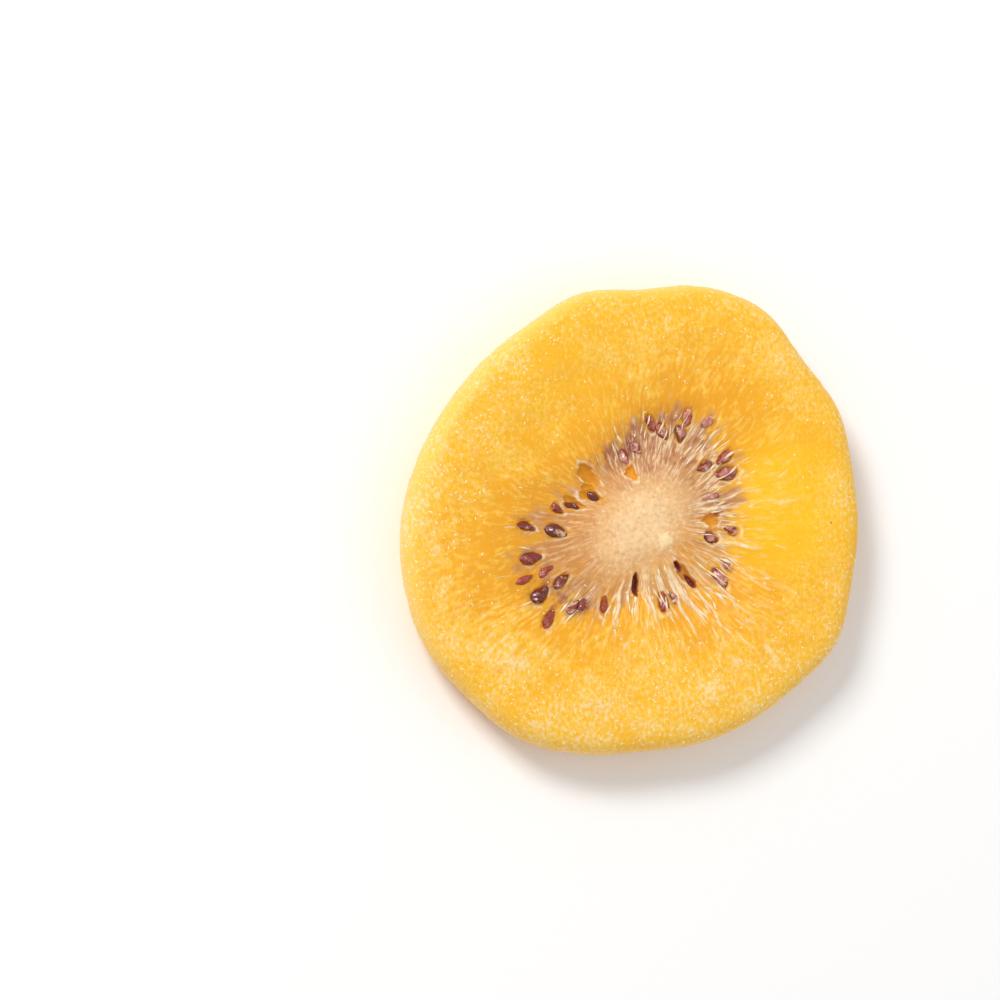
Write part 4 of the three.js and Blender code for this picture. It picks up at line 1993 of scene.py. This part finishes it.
class SugarPiece:
    """Sugar crystals, strewn over the flesh where it is frosted."""

    def __init__(self, flesh: bpy.types.Object, sizes: SugarSizes) -> None:
        """Keep the flesh that carries the crystals."""
        self.flesh = flesh
        self.sizes = sizes

    def _crystal(self) -> bpy.types.Object:
        """Make one crystal: a flat, longish flake that tapers to both ends.

        Returns:
            The crystal's object, which is instanced.
        """
        belt = [[1.2, 0.0, 0.0], [0.3, 0.5, 0.05], [-1.0, 0.3, 0.0]]
        belt += [[-0.9, -0.35, 0.05], [0.4, -0.45, 0.0]]
        tips = [[0.1, 0.05, 0.38], [0.0, 0.0, -0.38]]
        sides = len(belt)
        faces = [[a, (a + 1) % sides, sides] for a in range(sides)]
        faces += [[(a + 1) % sides, a, sides + 1] for a in range(sides)]
        return mesh_object("crystal_shape", np.array(belt + tips), faces)

    def build(self) -> bpy.types.Object:
        """Make the piece.

        Returns:
            The piece.
        """
        carrier = bpy.data.objects.new("crystal_places", self.flesh.data.copy())
        bpy.context.scene.collection.objects.link(carrier)
        shape = self._crystal()
        inputs = {
            "Shape": ("NodeSocketObject", shape),
            "Material": ("NodeSocketMaterial", shared_material(SugarFinish())),
            "Density": ("NodeSocketFloat", self.sizes.per_area / MM**2),
            "Smallest": ("NodeSocketFloat", self.sizes.size[0] * MM),
            "Largest": ("NodeSocketFloat", self.sizes.size[1] * MM),
            "Seed": ("NodeSocketInt", self.sizes.random_seed),
        }
        repeat = Repeat("sugar_grains", carrier, inputs)
        graph = repeat.graph
        density = repeat.named("crystals") * repeat.given("Density")
        seed = repeat.given("Seed")
        named = {"Mesh": repeat.geometry(), "Density": density, "Seed": seed}
        points = graph.node("GeometryNodeDistributePointsOnFaces", None, named=named)
        lying = Wire(graph, points.socket.node.outputs["Rotation"])
        tilt = self.sizes.tilt
        named = {0: (-tilt, -tilt, 0.0), 1: (tilt, tilt, math.tau), "Seed": seed}
        turn = graph.node("FunctionNodeRandomValue", {"data_type": "FLOAT_VECTOR"}, named=named)
        turn = graph.node("FunctionNodeRotateRotation", {"rotation_space": "LOCAL"}, lying, turn)
        named = {2: repeat.given("Smallest"), 3: repeat.given("Largest"), "Seed": seed}
        size = graph.node("FunctionNodeRandomValue", {"data_type": "FLOAT"}, named=named, output=1)
        info = graph.node("GeometryNodeObjectInfo", None, repeat.given("Shape"), output="Geometry")
        named = {"Points": points, "Instance": info, "Rotation": turn, "Scale": size}
        repeat.end(graph.node("GeometryNodeInstanceOnPoints", None, named=named))
        piece = repeat.apply()
        discard(carrier, shape)
        declare(piece)
        return piece


# Studio


@dataclass(frozen=True)
class CameraSetup:
    """The photograph's view, in millimetres, degrees and pixels."""

    tilt: float = 15.0
    tilt_bearing: float = 200.0
    distance: float = 500.0
    per_pixel: float = 0.1043
    core_pixel: tuple[float, float] = (645.0, 522.0)
    image: float = 1000.0
    sensor: float = 36.0


@dataclass(frozen=True)
class LightSetup:
    """One area light: where it stands and how strong it is, in metres and watts."""

    name: str
    place: Triple
    size: float
    power: float
    colour: Colour = (1.0, 1.0, 1.0)


LIGHTS = (
    LightSetup("key", (-0.35, 0.35, 0.5), 0.22, 3.1, (1.0, 0.985, 0.95)),
    LightSetup("fill", (0.5, -0.2, 0.5), 0.6, 0.75),
)


@dataclass(frozen=True)
class RoomSetup:
    """Floor and sky round the slice: half the floor's side in metres, and the sky's strength."""

    floor_half: float = 3.0
    sky_strength: float = 0.55


class Studio:
    """Floor, lights, world and camera."""

    def __init__(self, core: Vector, room: RoomSetup) -> None:
        """Keep the middle of the core, in metres, and what stands round it."""
        self.core = core
        self.room = room

    def build(self) -> None:
        """Make everything round the slice, as the photograph shows it."""
        self._floor()
        for light in LIGHTS:
            self._light(light)
        self._world()
        self._camera(CameraSetup())
        bpy.context.scene.view_settings.view_transform = "Standard"

    def _floor(self) -> None:
        """A wide plane under the slice."""
        signs = np.array([[-1.0, -1.0, 0.0], [1.0, -1.0, 0.0], [1.0, 1.0, 0.0], [-1.0, 1.0, 0.0]])
        floor = mesh_object("floor", self.room.floor_half * signs, [[0, 1, 2, 3]])
        floor.data.materials.append(FloorFinish().material())

    def _light(self, setup: LightSetup) -> None:
        """An area light that looks at the core.

        Args:
            setup: Where it stands and how strong it is.
        """
        data = bpy.data.lights.new(setup.name, "AREA")
        data.energy, data.size, data.color = setup.power, setup.size, setup.colour
        light = bpy.data.objects.new(setup.name, data)
        light.location = setup.place
        light.rotation_euler = (self.core - light.location).to_track_quat("-Z", "Y").to_euler()
        bpy.context.scene.collection.objects.link(light)

    def _world(self) -> None:
        """An even white sky."""
        world = bpy.data.worlds.new("white_sky")
        world.use_nodes = True
        graph = Graph(world.node_tree)
        sky = graph.node("ShaderNodeBackground", None, (1.0, 1.0, 1.0), self.room.sky_strength)
        graph.node("ShaderNodeOutputWorld", None, sky)
        bpy.context.scene.world = world

    def _camera(self, setup: CameraSetup) -> None:
        """The photograph's camera: it leans off the face's normal and holds +Y up.

        Args:
            setup: The photograph's view.
        """
        tilt, bearing = math.radians(setup.tilt), math.radians(setup.tilt_bearing)
        flat = Vector((math.cos(bearing), math.sin(bearing), 0.0)) * math.sin(tilt)
        back = flat + Vector((0.0, 0.0, math.cos(tilt)))
        right = Vector((0.0, 1.0, 0.0)).cross(back).normalized()
        up = back.cross(right)
        off_x = (setup.core_pixel[0] - setup.image / 2) * setup.per_pixel * MM
        off_y = (setup.image / 2 - setup.core_pixel[1]) * setup.per_pixel * MM
        data = bpy.data.cameras.new("camera")
        data.sensor_width = setup.sensor
        data.lens = setup.sensor * setup.distance / (setup.image * setup.per_pixel)
        camera = bpy.data.objects.new("camera", data)
        camera.location = self.core + back * setup.distance * MM - right * off_x - up * off_y
        camera.rotation_euler = Matrix((right, up, back)).transposed().to_euler()
        bpy.context.scene.collection.objects.link(camera)
        bpy.context.scene.camera = camera


def main() -> None:
    """Build the slice and the studio round it."""
    logging.basicConfig(level=logging.INFO, format="%(name)s %(message)s")
    form = SliceForm(SliceSizes(), PitSizes(), RidgeSizes(), UnderSeedRule())
    flesh = FleshPiece(form, RingSteps(), MarkSizes())
    body = flesh.build()
    for face in Face:
        SeedsPiece(form, flesh.placement, face, SeedSizes()).build()
        StrandsPiece(form, flesh.placement, face, StrandSizes()).build()
    SugarPiece(body, SugarSizes()).build()
    core = flesh.placement.place(np.array([0.0, 0.0, form.middle(Face.UPPER, fine=False)]))
    Studio(Vector(core), RoomSetup()).build()


if __name__ == "__main__":
    main()
